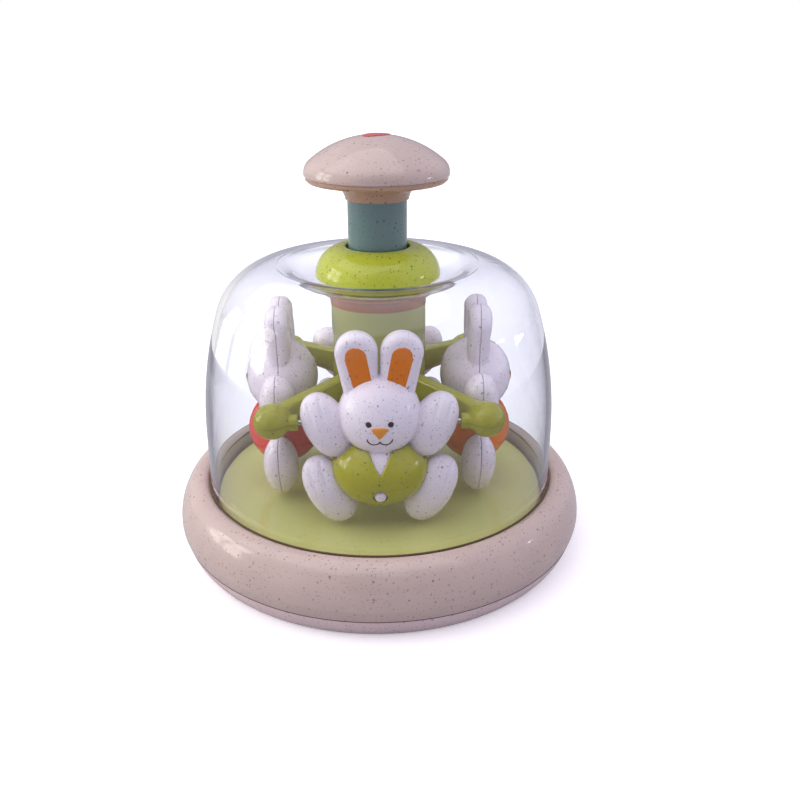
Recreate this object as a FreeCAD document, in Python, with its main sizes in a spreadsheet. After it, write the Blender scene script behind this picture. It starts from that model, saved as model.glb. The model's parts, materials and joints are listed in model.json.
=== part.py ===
import FreeCAD, Part
import os
from math import atan2, cos, degrees, pi, radians, sin, sqrt

import Sketcher

# A push-and-spin toy carousel. A round base carries a clear dome. Under the dome four rabbits hang
# from the arms of a turning column. A plunger through the dome's collar drives the column by a
# steep screw and a face clutch.
#
# Frame: +Z up, origin on the table at the centre of the base, the front rabbit faces -Y.
# Lengths are millimetres, angles are degrees.

DIMENSIONS = {
    # base shells
    "foot_radius": 79.0,
    "seam_radius": 83.7,
    "seam_height": 8.5,
    "belly_radius": 85.0,
    "belly_height": 13.5,
    "crest_radius": 75.0,
    "crest_height": 29.5,
    "lip_round": 2.4,
    "lip_foot": 19.7,
    "foot_side_radius": 16.0,
    "seam_side_radius": 12.0,
    "belly_side_radius": 23.2,
    "shell_wall": 2.5,
    "spindle_boss_radius": 7.0,
    # dome
    "dome_wall": 2.0,
    "dome_foot": 17.0,
    "dome_flange_radius": 74.3,
    "dome_flange_top": 19.5,
    "dome_radius": 72.0,
    "dome_wall_radius": 71.8,
    "dome_wall_top": 52.0,
    "dome_side_radius": 163.4,
    "dome_crest_radius": 40.0,
    "dome_crest_height": 118.7,
    "dome_dish_radius": 25.6,
    "dome_dish_height": 113.3,
    "dome_hole_radius": 15.1,
    # floor plate
    "floor_radius": 69.4,
    "floor_top": 24.0,
    "floor_wall": 2.5,
    "floor_edge": 1.5,
    "floor_boss_radius": 12.0,
    "floor_boss_top": 26.8,
    "spigot_radius": 6.0,
    "spigot_top": 33.0,
    # collar, its guide tube and nut
    "collar_foot": 113.35,
    "collar_radius": 24.7,
    "collar_round": 0.6,
    "collar_top": 125.4,
    "collar_side_radius": 10.6,
    "collar_mouth_radius": 12.6,
    "collar_ledge": 120.4,
    "guide_radius": 15.0,
    "guide_bore": 11.65,
    "guide_counterbore": 13.6,
    "guide_shoulder": 104.0,
    "guide_foot": 54.0,
    "nut_radius": 20.7,
    "nut_foot": 108.1,
    "seat_bore": 9.0,
    "seat_depth": 3.0,
    "seat_flange": 2.0,
    # plunger
    "tube_radius": 11.57,
    "tube_bore": 9.6,
    "tube_foot": 101.0,
    "tube_top": 148.0,
    "tube_web": 2.0,
    "tube_flange_radius": 13.4,
    "tube_flange": 2.9,
    # knob
    "neck_foot": 143.6,
    "neck_radius": 12.4,
    "neck_flare_radius": 16.6,
    "neck_flare_top": 148.8,
    "neck_flare_arc": 6.0,
    "plate_radius": 27.4,
    "plate_rim_foot": 151.2,
    "plate_bevel": 0.9,
    "plate_top": 152.4,
    "plate_recess_radius": 24.0,
    "plate_recess": 151.0,
    "knob_radius": 28.0,
    "knob_rim": 153.4,
    "knob_top": 167.4,
    "knob_side_radius": 6.0,
    "knob_wall": 2.0,
    "post_radius": 3.5,
    "badge_length": 12.0,
    "badge_width": 7.6,
    "badge_turn": 40.0,
    "badge_depth": 0.7,
    "badge_proud": 0.25,
    # drive
    "rod_radius": 5.0,
    "rod_foot": 33.3,
    "rod_top": 112.0,
    "thread_lead": 34.0,
    "thread_foot": 80.0,
    "groove_radius": 1.8,
    "groove_centre": 5.2,
    "peg_radius": 1.1,
    "peg_tip": 4.1,
    "drive_nut_bore": 5.4,
    "drive_nut_height": 6.0,
    "spindle_radius": 2.0,
    "spindle_foot": 5.0,
    "spindle_top": 52.0,
    "driver_radius": 13.2,
    "driver_foot": 35.0,
    "driver_thickness": 3.0,
    "driver_sleeve_radius": 7.5,
    "driver_sleeve_top": 46.0,
    "tooth_inner": 8.0,
    "tooth_outer": 13.0,
    "tooth_width": 2.6,
    "tooth_height": 2.2,
    "spring_radius": 11.5,
    "spring_wire": 0.6,
    "spring_turns": 9.0,
    # turning column
    "column_radius": 18.7,
    "column_bore": 16.2,
    "column_foot": 29.0,
    "column_top": 105.5,
    "sleeve_seat_radius": 17.6,
    "sleeve_top": 77.5,
    "ring_radius": 18.8,
    "ring_top": 107.6,
    "ring_spigot": 5.5,
    "hub_foot": 27.8,
    "hub_wall": 2.0,
    "hub_web": 2.5,
    "hub_top": 42.0,
    "washer_bore": 6.2,
    "washer_radius": 14.0,
    # arms
    "sleeve_radius": 18.95,
    "sleeve_foot": 62.0,
    "arm_foot": 65.0,
    "arm_top": 74.6,
    "arm_thickness": 5.0,
    "arm_reach": 53.0,
    "ball_radius": 6.8,
    "ball_height": 68.0,
    "pin_line": 40.0,
    "pin_height": 67.5,
    "pin_radius": 1.0,
    "pin_reach": 36.4,
    "boss_radius": 3.1,
    "boss_reach": 30.3,
    # rabbits, measured from the pin line on the parting plane of the two halves
    "head_height": 71.0,
    "head_half_width": 15.5,
    "head_half_depth": 14.6,
    "head_half_height": 15.5,
    "ear_spread": 8.3,
    "ear_tip_height": 96.2,
    "ear_half_width": 7.9,
    "ear_half_depth": 5.85,
    "ear_set_forward": 2.0,
    "ear_tip_half_height": 8.2,
    "ear_root_spread": 7.2,
    "ear_root_height": 87.0,
    "ear_root_half_width": 7.0,
    "ear_root_half_height": 15.0,
    "paw_spread": 19.9,
    "paw_height": 67.0,
    "paw_half_width": 8.6,
    "paw_half_depth": 7.2,
    "paw_half_length": 14.0,
    "paw_tilt": 25.0,
    "leg_spread": 19.5,
    "leg_height": 39.5,
    "leg_half_width": 8.5,
    "leg_half_depth": 7.0,
    "leg_half_length": 14.8,
    "leg_tilt": 27.0,
    "vest_height": 48.0,
    "vest_half_width": 18.0,
    "vest_half_depth": 14.0,
    "vest_half_height": 14.5,
    "vest_thickness": 1.3,
    "rabbit_wall": 2.0,
    "neckline_half_width": 5.0,
    "neckline_top": 59.0,
    "neckline_point": 50.8,
    "lining_outer_foot": 8.8,
    "lining_foot": 85.0,
    "lining_outer": 12.0,
    "lining_outer_top": 95.3,
    "lining_inner_top": 4.9,
    "lining_top": 97.2,
    "lining_arc": 4.2,
    "lining_inner": 2.7,
    "lining_inner_foot": 88.4,
    "lining_back": 5.4,
    "lining_face": 6.75,
    "button_height": 41.0,
    "button_radius": 2.2,
    "button_recess_radius": 2.7,
    "button_stem_radius": 1.25,
    "button_face": 12.9,
    "button_seat": 11.0,
    "button_stem_end": 7.6,
    "button_dome_radius": 3.4,
    # screws and fits
    "screw_radius": 1.25,
    "screw_head_radius": 2.2,
    "screw_head": 1.8,
    "screw_hole_radius": 1.32,
    "screw_pocket_radius": 2.5,
    "screw_tower_radius": 2.6,
    "screw_boss_radius": 3.2,
    "screw_tower_top": 25.0,
    "cap_screw_depth": 4.0,
    "base_screw_circle": 77.0,
    "base_screw_end": 22.0,
    "floor_screw_circle": 45.0,
    "floor_screw_end": 19.0,
    "cap_screw_end": 71.5,
    "knob_screw_end": 160.0,
    "running_fit": 0.08,
    "split_gap": 0.06,
}

BASE_SCREWS = 4
FLOOR_SCREWS = 3
TOOTH_COUNT = 8
RABBITS = {"front": 0, "right": 90, "back": 180, "left": 270}
SIDES = (-1, 1)
FULL_TURN = 360
QUARTER_TURN = 90
KEEPER = 60.0

# Numbers of points and axes in a sketch
START, END, CENTRE = 1, 2, 3
H_AXIS, V_AXIS = -1, -2
ORIGIN = (-1, 1)
SNAP = 1e-9

doc = FreeCAD.newDocument("carousel")


class Length:
    """A size that carries its number together with the sheet expression that gives it."""

    def __init__(self, number, text):
        self.number = float(number)
        self.text = text

    @staticmethod
    def of(value):
        return value if isinstance(value, Length) else Length(value, repr(float(value)))

    def joined(self, sign, other, number):
        return Length(number, f"({self.text} {sign} {other.text})")

    def __add__(self, other):
        other = Length.of(other)
        return self.joined("+", other, self.number + other.number)

    def __radd__(self, other):
        return Length.of(other) + self

    def __sub__(self, other):
        other = Length.of(other)
        return self.joined("-", other, self.number - other.number)

    def __rsub__(self, other):
        return Length.of(other) - self

    def __mul__(self, other):
        other = Length.of(other)
        return self.joined("*", other, self.number * other.number)

    def __rmul__(self, other):
        return Length.of(other) * self

    def __truediv__(self, other):
        other = Length.of(other)
        return self.joined("/", other, self.number / other.number)

    def __neg__(self):
        return Length.of(0) - self


class Sizes:
    """The driving dimensions: one spreadsheet row each, read as sizes.name."""

    def __init__(self, dimensions):
        sheet = doc.addObject("Spreadsheet::Sheet", "sizes")
        for row, (name, number) in enumerate(dimensions.items(), start=1):
            sheet.set(f"A{row}", name)
            sheet.set(f"B{row}", str(number))
            sheet.setAlias(f"B{row}", name)
            setattr(self, name, Length(number, f"sizes.{name}"))
        doc.recompute()


sizes = Sizes(DIMENSIONS)


# ---------------------------------------------------------------- document helpers

def bind(thing, **properties):
    """Tie properties of an object to sizes. Dots in a property name are written as two underscores."""
    for name, value in properties.items():
        thing.setExpression(name.replace("__", "."), Length.of(value).text)


def place(thing, x=0, y=0, z=0, axis=(0, 0, 1), angle=0):
    """Place an object. Its position follows the sizes, its turn about axis is a plain angle."""
    spot = [Length.of(value) for value in (x, y, z)]
    turn = FreeCAD.Rotation(FreeCAD.Vector(*axis), angle)
    thing.Placement = FreeCAD.Placement(FreeCAD.Vector(*[part.number for part in spot]), turn)
    bind(thing, Placement__Base__x=spot[0], Placement__Base__y=spot[1], Placement__Base__z=spot[2])
    return thing


def named(thing, label):
    thing.Label = label
    return thing


def add(kind, name):
    return doc.addObject(kind, name)


def cylinder(name, radius, foot, top, x=0, y=0, axis=(0, 0, 1), angle=0):
    solid = add("Part::Cylinder", name)
    bind(solid, Radius=radius, Height=Length.of(top) - foot)
    return place(solid, x, y, foot, axis, angle)


def box(name, low, high):
    """A box between two corners."""
    solid = add("Part::Box", name)
    spans = [Length.of(end) - start for start, end in zip(low, high)]
    bind(solid, Length=spans[0], Width=spans[1], Height=spans[2])
    return place(solid, *low)


def ellipsoid(name, halves, centre, tilt=0):
    """An ellipsoid with half axes (x, y, z), tilted about Y."""
    solid = add("Part::Ellipsoid", name)
    bind(solid, Radius2=halves[0], Radius3=halves[1], Radius1=halves[2])
    solid.Angle1 = -QUARTER_TURN
    solid.Angle2 = QUARTER_TURN
    solid.Angle3 = FULL_TURN
    return place(solid, *centre, axis=(0, 1, 0), angle=tilt)


def sphere(name, radius, x, y, z):
    solid = add("Part::Sphere", name)
    bind(solid, Radius=radius)
    return place(solid, x, y, z)


def fuse(name, pieces):
    whole = add("Part::MultiFuse", name)
    whole.Shapes = pieces
    whole.Refine = False
    return whole


def common(name, pieces):
    shared = add("Part::MultiCommon", name)
    shared.Shapes = pieces
    shared.Refine = False
    return shared


def cut(name, base, tool):
    rest = add("Part::Cut", name)
    rest.Base = base
    rest.Tool = tool if not isinstance(tool, list) else fuse(f"{name}_tools", tool)
    rest.Refine = False
    return rest


def group(name, pieces):
    """Identical separate pieces that share one node."""
    together = add("Part::Compound", name)
    together.Links = pieces
    return named(together, name)


def around(count, start=0):
    return [start + FULL_TURN * index / count for index in range(count)]


def on_circle(radius, angle):
    return radius * cos(radians(angle)), radius * sin(radians(angle))


# ---------------------------------------------------------------- sketched bodies

def new_body(name, level):
    body = add("PartDesign::Body", name)
    return place(body, z=level)


def sketch_on(body, role, name, lift=0):
    """A sketch on one of the body's origin planes, lifted off it along its normal."""
    plane = [item for item in body.Origin.OriginFeatures if item.Role == role][0]
    sketch = body.newObject("Sketcher::SketchObject", name)
    sketch.AttachmentSupport = [(plane, "")]
    sketch.MapMode = "FlatFace"
    bind(sketch, AttachmentOffset__Base__z=lift)
    return sketch


def hold(sketch, kind, geometry, value):
    """Add a dimension to a sketch and tie it to a size."""
    index = sketch.addConstraint(Sketcher.Constraint(kind, *geometry, value.number))
    sketch.setExpression(f"Constraints[{index}]", value.text)


def pin_point(sketch, point, x, y):
    """Fix a point of the sketch at (x, y)."""
    for kind, value, axis in (("DistanceX", x, V_AXIS), ("DistanceY", y, H_AXIS)):
        if abs(value.number) < SNAP:
            sketch.addConstraint(Sketcher.Constraint("PointOnObject", *point, axis))
        else:
            hold(sketch, kind, (*ORIGIN, *point), value)


def add_line(sketch, start, end):
    """Returns the new edge as (number, start point, end point)."""
    line = Part.LineSegment(FreeCAD.Vector(*start, 0), FreeCAD.Vector(*end, 0))
    return sketch.addGeometry(line), START, END


def add_arc(sketch, centre, radius, start, end, turns_left):
    """Returns the new edge as (number, start point, end point)."""
    circle = Part.Circle(FreeCAD.Vector(*centre, 0), FreeCAD.Vector(0, 0, 1), radius)
    first = atan2(start[1] - centre[1], start[0] - centre[0])
    last = atan2(end[1] - centre[1], end[0] - centre[0])
    if turns_left:
        return sketch.addGeometry(Part.ArcOfCircle(circle, first, last)), START, END
    return sketch.addGeometry(Part.ArcOfCircle(circle, last, first)), END, START


def add_bend(sketch, start, end, radius):
    """One arc from start to end. It turns left, or right if the radius is negative."""
    side = 1 if radius.number > 0 else -1
    reach = abs(radius.number)
    across = (end[0] - start[0], end[1] - start[1])
    chord = sqrt(across[0] ** 2 + across[1] ** 2)
    rise = sqrt(reach ** 2 - chord ** 2 / 4)
    middle = ((start[0] + end[0]) / 2, (start[1] + end[1]) / 2)
    centre = (middle[0] - side * rise * across[1] / chord, middle[1] + side * rise * across[0] / chord)
    edge = add_arc(sketch, centre, reach, start, end, side > 0)
    hold(sketch, "Radius", (edge[0],), radius if side > 0 else -radius)
    return edge


def crown_radius(width, height, side_radius):
    """Radius of the crown arc that meets a side arc and ends width inward and height up."""
    return (width * width + height * height - 2 * width * side_radius) / (2 * (height - side_radius))


def add_shoulder(sketch, start, end, side_radius, way):
    """Two tangent arcs between a wall and a crown, going up to the crown or down from it.

    The outline is upright at the wall's end, where the arc has side_radius, and level at the
    crown's end."""
    rising = way == "rising"
    side, crown = (start, end) if rising else (end, start)
    flat = crown_radius(side[0] - crown[0], crown[1] - side[1], side_radius.number)
    side_centre = (side[0] - side_radius.number, side[1])
    crown_centre = (crown[0], crown[1] - flat)
    reach = side_radius.number / (side_radius.number - flat)
    meet = tuple(a + reach * (b - a) for a, b in zip(side_centre, crown_centre))
    halves = [(side_centre, side_radius.number), (crown_centre, flat)]
    if not rising:
        halves.reverse()
    first = add_arc(sketch, *halves[0], start, meet, rising)
    last = add_arc(sketch, *halves[1], meet, end, rising)
    sketch.addConstraint(Sketcher.Constraint("Tangent", first[0], first[2], last[0], last[1]))
    side_edge, side_end = (first[0], first[1]) if rising else (last[0], last[2])
    crown_edge, crown_end = (last[0], last[2]) if rising else (first[0], first[1])
    sketch.addConstraint(Sketcher.Constraint("Horizontal", side_edge, CENTRE, side_edge, side_end))
    sketch.addConstraint(Sketcher.Constraint("Vertical", crown_edge, CENTRE, crown_edge, crown_end))
    hold(sketch, "Radius", (side_edge,), side_radius)
    return first, last


def outline(sketch, steps):
    """Draw a closed outline. A step is (x, y) for a line to that point, (x, y, radius) for an arc,
    or (x, y, side radius, "rising" or "falling") for a shoulder."""
    steps = [[Length.of(part) if not isinstance(part, str) else part for part in step] for step in steps]
    strokes = []
    for before, step in zip(steps[-1:] + steps[:-1], steps):
        start = (before[0].number, before[1].number)
        end = (step[0].number, step[1].number)
        if len(step) == 2:
            strokes.append([add_line(sketch, start, end)])
        elif len(step) == 3:
            strokes.append([add_bend(sketch, start, end, step[2])])
        else:
            strokes.append(add_shoulder(sketch, start, end, step[2], step[3]))
    for stroke, after, step in zip(strokes, strokes[1:] + strokes[:1], steps):
        last, following = stroke[-1], after[0]
        join = Sketcher.Constraint("Coincident", last[0], last[2], following[0], following[1])
        sketch.addConstraint(join)
        pin_point(sketch, (last[0], last[2]), step[0], step[1])


def lathe(name, level, steps):
    """A body turned about its axis. steps hold (radius, height, ...) with heights above the table."""
    level = Length.of(level)
    body = new_body(name, level)
    sketch = sketch_on(body, "XZ_Plane", f"{name}_outline")
    outline(sketch, [(step[0], step[1] - level, *step[2:]) for step in steps])
    turned = body.newObject("PartDesign::Revolution", f"{name}_turned")
    turned.Profile = sketch
    turned.ReferenceAxis = (sketch, ["V_Axis"])
    turned.Angle = FULL_TURN
    return body


def tube(name, inner, outer, foot, top):
    return lathe(name, foot, [(outer, foot), (outer, top), (inner, top), (inner, foot)])


def circle_sketch(body, name, radius, ring_radius, angle, lift):
    """A circle at ring_radius from the axis, in the direction of angle."""
    sketch = sketch_on(body, "XY_Plane", f"{name}_sketch", lift)
    x, y = on_circle(Length.of(ring_radius), angle)
    centre = FreeCAD.Vector(x.number, y.number, 0)
    number = sketch.addGeometry(Part.Circle(centre, FreeCAD.Vector(0, 0, 1), radius.number))
    pin_point(sketch, (number, CENTRE), x, y)
    hold(sketch, "Radius", (number,), radius)
    return sketch


def repeat(body, feature, sketch, count):
    pattern = body.newObject("PartDesign::PolarPattern", f"{feature.Name}_ring")
    pattern.Originals = [feature]
    pattern.Axis = (sketch, ["N_Axis"])
    pattern.Angle = FULL_TURN
    pattern.Occurrences = count
    body.Tip = pattern


def pads(body, name, radius, foot, top, ring_radius=0, count=1, angle=0):
    """Round bosses from foot to top, above the body's own level, count of them around the axis."""
    sketch = circle_sketch(body, name, radius, ring_radius, angle, foot)
    boss = body.newObject("PartDesign::Pad", name)
    boss.Profile = sketch
    bind(boss, Length=top - foot)
    if count > 1:
        repeat(body, boss, sketch, count)


def pockets(body, name, radius, foot, top, ring_radius=0, count=1, angle=0):
    """Round holes from top down to foot, above the body's own level, count of them."""
    sketch = circle_sketch(body, name, radius, ring_radius, angle, top)
    hole = body.newObject("PartDesign::Pocket", name)
    hole.Profile = sketch
    bind(hole, Length=top - foot)
    if count > 1:
        repeat(body, hole, sketch, count)


# ---------------------------------------------------------------- base

def base_screw_rings():
    """Name, circle radius, number and first angle of the two rings of screws in the base."""
    return (
        ("ring_screw", sizes.base_screw_circle, BASE_SCREWS, FULL_TURN / BASE_SCREWS / 2),
        ("floor_screw", sizes.floor_screw_circle, FLOOR_SCREWS, 0),
    )


def make_base_bottom():
    wall = sizes.shell_wall
    rib_top = sizes.dome_foot - sizes.split_gap
    body = lathe("base_bottom", 0, [
        (sizes.foot_radius, 0),
        (sizes.seam_radius, sizes.seam_height, sizes.foot_side_radius),
        (sizes.seam_radius - wall, sizes.seam_height),
        (sizes.foot_radius - wall / 2, wall),
        (sizes.dome_flange_radius, wall),
        (sizes.dome_flange_radius, rib_top),
        (sizes.dome_flange_radius - wall, rib_top),
        (sizes.dome_flange_radius - wall, wall),
        (0, wall),
        (0, 0),
    ])
    seam = sizes.seam_height - sizes.split_gap
    pads(body, "spindle_boss", sizes.spindle_boss_radius, wall, sizes.dome_foot)
    pockets(body, "spindle_hole", sizes.spindle_radius + sizes.split_gap, sizes.spindle_foot,
            sizes.dome_foot)
    for name, ring_radius, count, angle in base_screw_rings():
        pads(body, f"{name}_boss", sizes.screw_boss_radius, wall, seam, ring_radius, count, angle)
        pockets(body, f"{name}_hole", sizes.screw_hole_radius, Length.of(0), seam, ring_radius, count,
                angle)
        pockets(body, f"{name}_pocket", sizes.screw_pocket_radius, Length.of(0), sizes.screw_head * 2,
                ring_radius, count, angle)


def make_base_ring():
    wall = sizes.shell_wall
    seam = sizes.seam_height
    lip = sizes.lip_round
    body = lathe("base_ring", seam, [
        (sizes.seam_radius, seam),
        (sizes.belly_radius, sizes.belly_height, sizes.seam_side_radius),
        (sizes.crest_radius, sizes.crest_height, sizes.belly_side_radius, "rising"),
        (sizes.crest_radius - lip, sizes.crest_height - lip, lip),
        (sizes.crest_radius - lip, sizes.lip_foot),
        (sizes.crest_radius, sizes.lip_foot),
        (sizes.crest_radius, sizes.crest_height - wall),
        (sizes.belly_radius - wall, sizes.belly_height, sizes.belly_side_radius - wall, "falling"),
        (sizes.seam_radius - wall, seam, wall - sizes.seam_side_radius),
    ])
    name, ring_radius, count, angle = base_screw_rings()[0]
    top = sizes.screw_tower_top - seam
    pads(body, "ring_tower", sizes.screw_tower_radius, Length.of(0), top, ring_radius, count, angle)
    pockets(body, "ring_tower_hole", sizes.screw_hole_radius, Length.of(0), sizes.base_screw_end - seam,
            ring_radius, count, angle)


def make_floor_plate():
    foot = sizes.floor_top - sizes.floor_wall
    bore = sizes.spindle_radius + sizes.split_gap
    body = lathe("floor_plate", foot, [
        (sizes.floor_radius, foot),
        (sizes.floor_radius, sizes.floor_top - sizes.floor_edge),
        (sizes.floor_radius - sizes.floor_edge, sizes.floor_top, sizes.floor_edge),
        (sizes.floor_boss_radius, sizes.floor_top),
        (sizes.floor_boss_radius, sizes.floor_boss_top),
        (sizes.spigot_radius, sizes.floor_boss_top),
        (sizes.spigot_radius, sizes.spigot_top),
        (bore, sizes.spigot_top),
        (bore, foot),
    ])
    name, ring_radius, count, angle = base_screw_rings()[1]
    tower_foot = sizes.seam_height - foot
    pads(body, "floor_tower", sizes.screw_tower_radius, tower_foot, Length.of(0), ring_radius, count, angle)
    pockets(body, "floor_tower_hole", sizes.screw_hole_radius, tower_foot, sizes.floor_screw_end - foot,
            ring_radius, count, angle)


def make_dome():
    wall = sizes.dome_wall
    foot = sizes.dome_foot
    drop = sizes.dome_crest_height - sizes.dome_dish_height
    run = sizes.dome_crest_radius - sizes.dome_dish_radius
    bend = (run * run + drop * drop) / (drop * 4)
    middle = (sizes.dome_dish_radius + run / 2, sizes.dome_dish_height + drop / 2)
    under = (middle[0] + wall * run / (bend * 2), middle[1] - wall * (bend - drop / 2) / bend)
    lathe("dome", foot, [
        (sizes.dome_flange_radius, foot),
        (sizes.dome_flange_radius, sizes.dome_flange_top),
        (sizes.dome_radius, sizes.dome_flange_top),
        (sizes.dome_wall_radius, sizes.dome_wall_top),
        (sizes.dome_crest_radius, sizes.dome_crest_height, sizes.dome_side_radius, "rising"),
        (*middle, bend),
        (sizes.dome_dish_radius, sizes.dome_dish_height, -bend),
        (sizes.dome_hole_radius, sizes.dome_dish_height),
        (sizes.dome_hole_radius, sizes.dome_dish_height - wall),
        (sizes.dome_dish_radius, sizes.dome_dish_height - wall),
        (*under, bend + wall),
        (sizes.dome_crest_radius, sizes.dome_crest_height - wall, wall - bend),
        (sizes.dome_wall_radius - wall, sizes.dome_wall_top, sizes.dome_side_radius - wall, "falling"),
        (sizes.dome_radius - wall, foot),
    ])


def make_collar():
    mouth = sizes.collar_mouth_radius
    lathe("collar", sizes.guide_foot, [
        (sizes.guide_radius, sizes.guide_foot),
        (sizes.guide_radius, sizes.collar_foot),
        (sizes.collar_radius - sizes.collar_round, sizes.collar_foot),
        (sizes.collar_radius, sizes.collar_foot + sizes.collar_round, sizes.collar_round),
        (mouth + sizes.collar_round, sizes.collar_top, sizes.collar_side_radius, "rising"),
        (mouth, sizes.collar_top - sizes.collar_round, sizes.collar_round),
        (mouth, sizes.collar_ledge),
        (sizes.guide_bore, sizes.collar_ledge),
        (sizes.guide_bore, sizes.guide_shoulder),
        (sizes.guide_counterbore, sizes.guide_shoulder),
        (sizes.guide_counterbore, sizes.guide_foot),
    ])
    tube("collar_nut", sizes.guide_radius + sizes.split_gap, sizes.nut_radius, sizes.nut_foot,
         sizes.dome_dish_height - sizes.dome_wall)
    plug = sizes.guide_counterbore - sizes.split_gap
    lathe("spring_seat", sizes.guide_foot - sizes.seat_flange, [
        (sizes.guide_radius, sizes.guide_foot - sizes.seat_flange),
        (sizes.guide_radius, sizes.guide_foot),
        (plug, sizes.guide_foot),
        (plug, sizes.guide_foot + sizes.seat_depth),
        (sizes.seat_bore, sizes.guide_foot + sizes.seat_depth),
        (sizes.seat_bore, sizes.guide_foot - sizes.seat_flange),
    ])


# ---------------------------------------------------------------- screws

def screw(name, x, y, head_foot, end):
    """A pan-head screw that points up."""
    neck = head_foot + sizes.screw_head
    return fuse(name, [
        cylinder(f"{name}_head", sizes.screw_head_radius, head_foot, neck, x, y),
        cylinder(f"{name}_shank", sizes.screw_radius, neck, end, x, y),
    ])


def make_screws():
    ends = (("base_screws", sizes.base_screw_end), ("floor_screws", sizes.floor_screw_end))
    for (label, end), (name, ring_radius, count, angle) in zip(ends, base_screw_rings()):
        spots = [on_circle(ring_radius, turn) for turn in around(count, angle)]
        group(label, [screw(f"{name}_{index}", x, y, sizes.screw_head, end)
                      for index, (x, y) in enumerate(spots)])
    head_foot = sizes.pin_height - sizes.cap_screw_depth - sizes.screw_head
    group("cap_screws", [screw(f"cap_screw_{index}", x, y, head_foot, sizes.cap_screw_end)
                         for index, (x, y) in enumerate(ball_spots())])
    screw("knob_screw", 0, 0, sizes.tube_top - sizes.tube_web - sizes.screw_head, sizes.knob_screw_end)


# ---------------------------------------------------------------- plunger and knob

def make_plunger_tube():
    web = sizes.tube_top - sizes.tube_web
    flange_top = sizes.tube_foot + sizes.tube_flange
    lathe("plunger_tube", sizes.tube_foot, [
        (sizes.tube_flange_radius, sizes.tube_foot),
        (sizes.tube_flange_radius, flange_top),
        (sizes.tube_radius, flange_top),
        (sizes.tube_radius, sizes.tube_top),
        (sizes.screw_hole_radius, sizes.tube_top),
        (sizes.screw_hole_radius, web),
        (sizes.tube_bore, web),
        (sizes.tube_bore, sizes.tube_foot),
    ])


def make_knob_plate():
    bore = sizes.tube_radius + sizes.split_gap
    web = sizes.tube_top + sizes.split_gap
    lathe("knob_plate", sizes.neck_foot, [
        (bore, sizes.neck_foot),
        (sizes.neck_radius, sizes.neck_foot),
        (sizes.neck_flare_radius, sizes.neck_flare_top, -sizes.neck_flare_arc),
        (sizes.plate_radius - sizes.plate_bevel, sizes.plate_rim_foot - sizes.plate_bevel),
        (sizes.plate_radius, sizes.plate_rim_foot),
        (sizes.plate_radius, sizes.plate_top),
        (sizes.plate_recess_radius, sizes.plate_top),
        (sizes.plate_recess_radius, sizes.plate_recess),
        (sizes.screw_hole_radius, sizes.plate_recess),
        (sizes.screw_hole_radius, web),
        (bore, web),
    ])


def badge_blank(name, half_length, half_width):
    """An upright oval bar through the top of the knob."""
    oval = add("Part::Ellipse", f"{name}_oval")
    bind(oval, MajorRadius=half_length, MinorRadius=half_width)
    place(oval, z=sizes.knob_rim, angle=DIMENSIONS["badge_turn"])
    bar = add("Part::Extrusion", name)
    bar.Base = oval
    bar.DirMode = "Custom"
    bar.Dir = FreeCAD.Vector(0, 0, 1)
    bar.Solid = True
    bind(bar, LengthFwd=sizes.knob_top - sizes.knob_rim + sizes.knob_wall)
    return bar


def make_knob():
    wall = sizes.knob_wall
    foot = sizes.plate_top + sizes.split_gap
    bevel = sizes.knob_radius - sizes.plate_radius
    body = lathe("knob_cap_moulding", foot, [
        (sizes.plate_radius, foot),
        (sizes.knob_radius, foot + bevel, bevel),
        (sizes.knob_radius, sizes.knob_rim),
        (0, sizes.knob_top, sizes.knob_side_radius, "rising"),
        (0, sizes.knob_top - wall),
        (sizes.knob_radius - wall, sizes.knob_rim, sizes.knob_side_radius - wall, "falling"),
        (sizes.knob_radius - wall, foot),
    ])
    post_foot = sizes.plate_recess + sizes.split_gap - foot
    post_top = sizes.knob_top - wall - foot
    pads(body, "knob_post", sizes.post_radius, post_foot, post_top)
    pockets(body, "knob_post_hole", sizes.screw_hole_radius, post_foot, sizes.knob_screw_end - foot)
    crown = crown_radius(sizes.knob_radius, sizes.knob_top - sizes.knob_rim, sizes.knob_side_radius)
    centre = sizes.knob_top - crown
    half_length, half_width = sizes.badge_length / 2, sizes.badge_width / 2
    floor = crown - sizes.badge_depth
    gap = sizes.split_gap
    recess = cut("badge_recess", badge_blank("recess_bar", half_length + gap, half_width + gap),
                 sphere("recess_floor", floor - gap, 0, 0, centre))
    named(cut("knob_cap", body, recess), "knob_cap")
    inlay = common("badge_inlay", [
        badge_blank("badge_bar", half_length, half_width),
        sphere("badge_face", crown + sizes.badge_proud, 0, 0, centre),
    ])
    named(cut("knob_badge", inlay, sphere("badge_floor", floor, 0, 0, centre)), "knob_badge")


# ---------------------------------------------------------------- drive

def coil(name, radius, wire_radius, pitch, foot, height, turn):
    """A round wire wound about Z, starting in the direction of turn."""
    helix = add("Part::Helix", f"{name}_path")
    bind(helix, Pitch=pitch, Height=height, Radius=radius)
    slope = degrees(atan2(pitch.number, 2 * pi * radius.number))
    section = add("Part::Circle", f"{name}_section")
    bind(section, Radius=wire_radius)
    place(section, x=radius, axis=(1, 0, 0), angle=slope - QUARTER_TURN)
    wound = add("Part::Sweep", name)
    wound.Sections = [section]
    wound.Spine = (helix, [])
    wound.Solid = True
    wound.Frenet = True
    return place(wound, z=foot, angle=turn)


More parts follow.
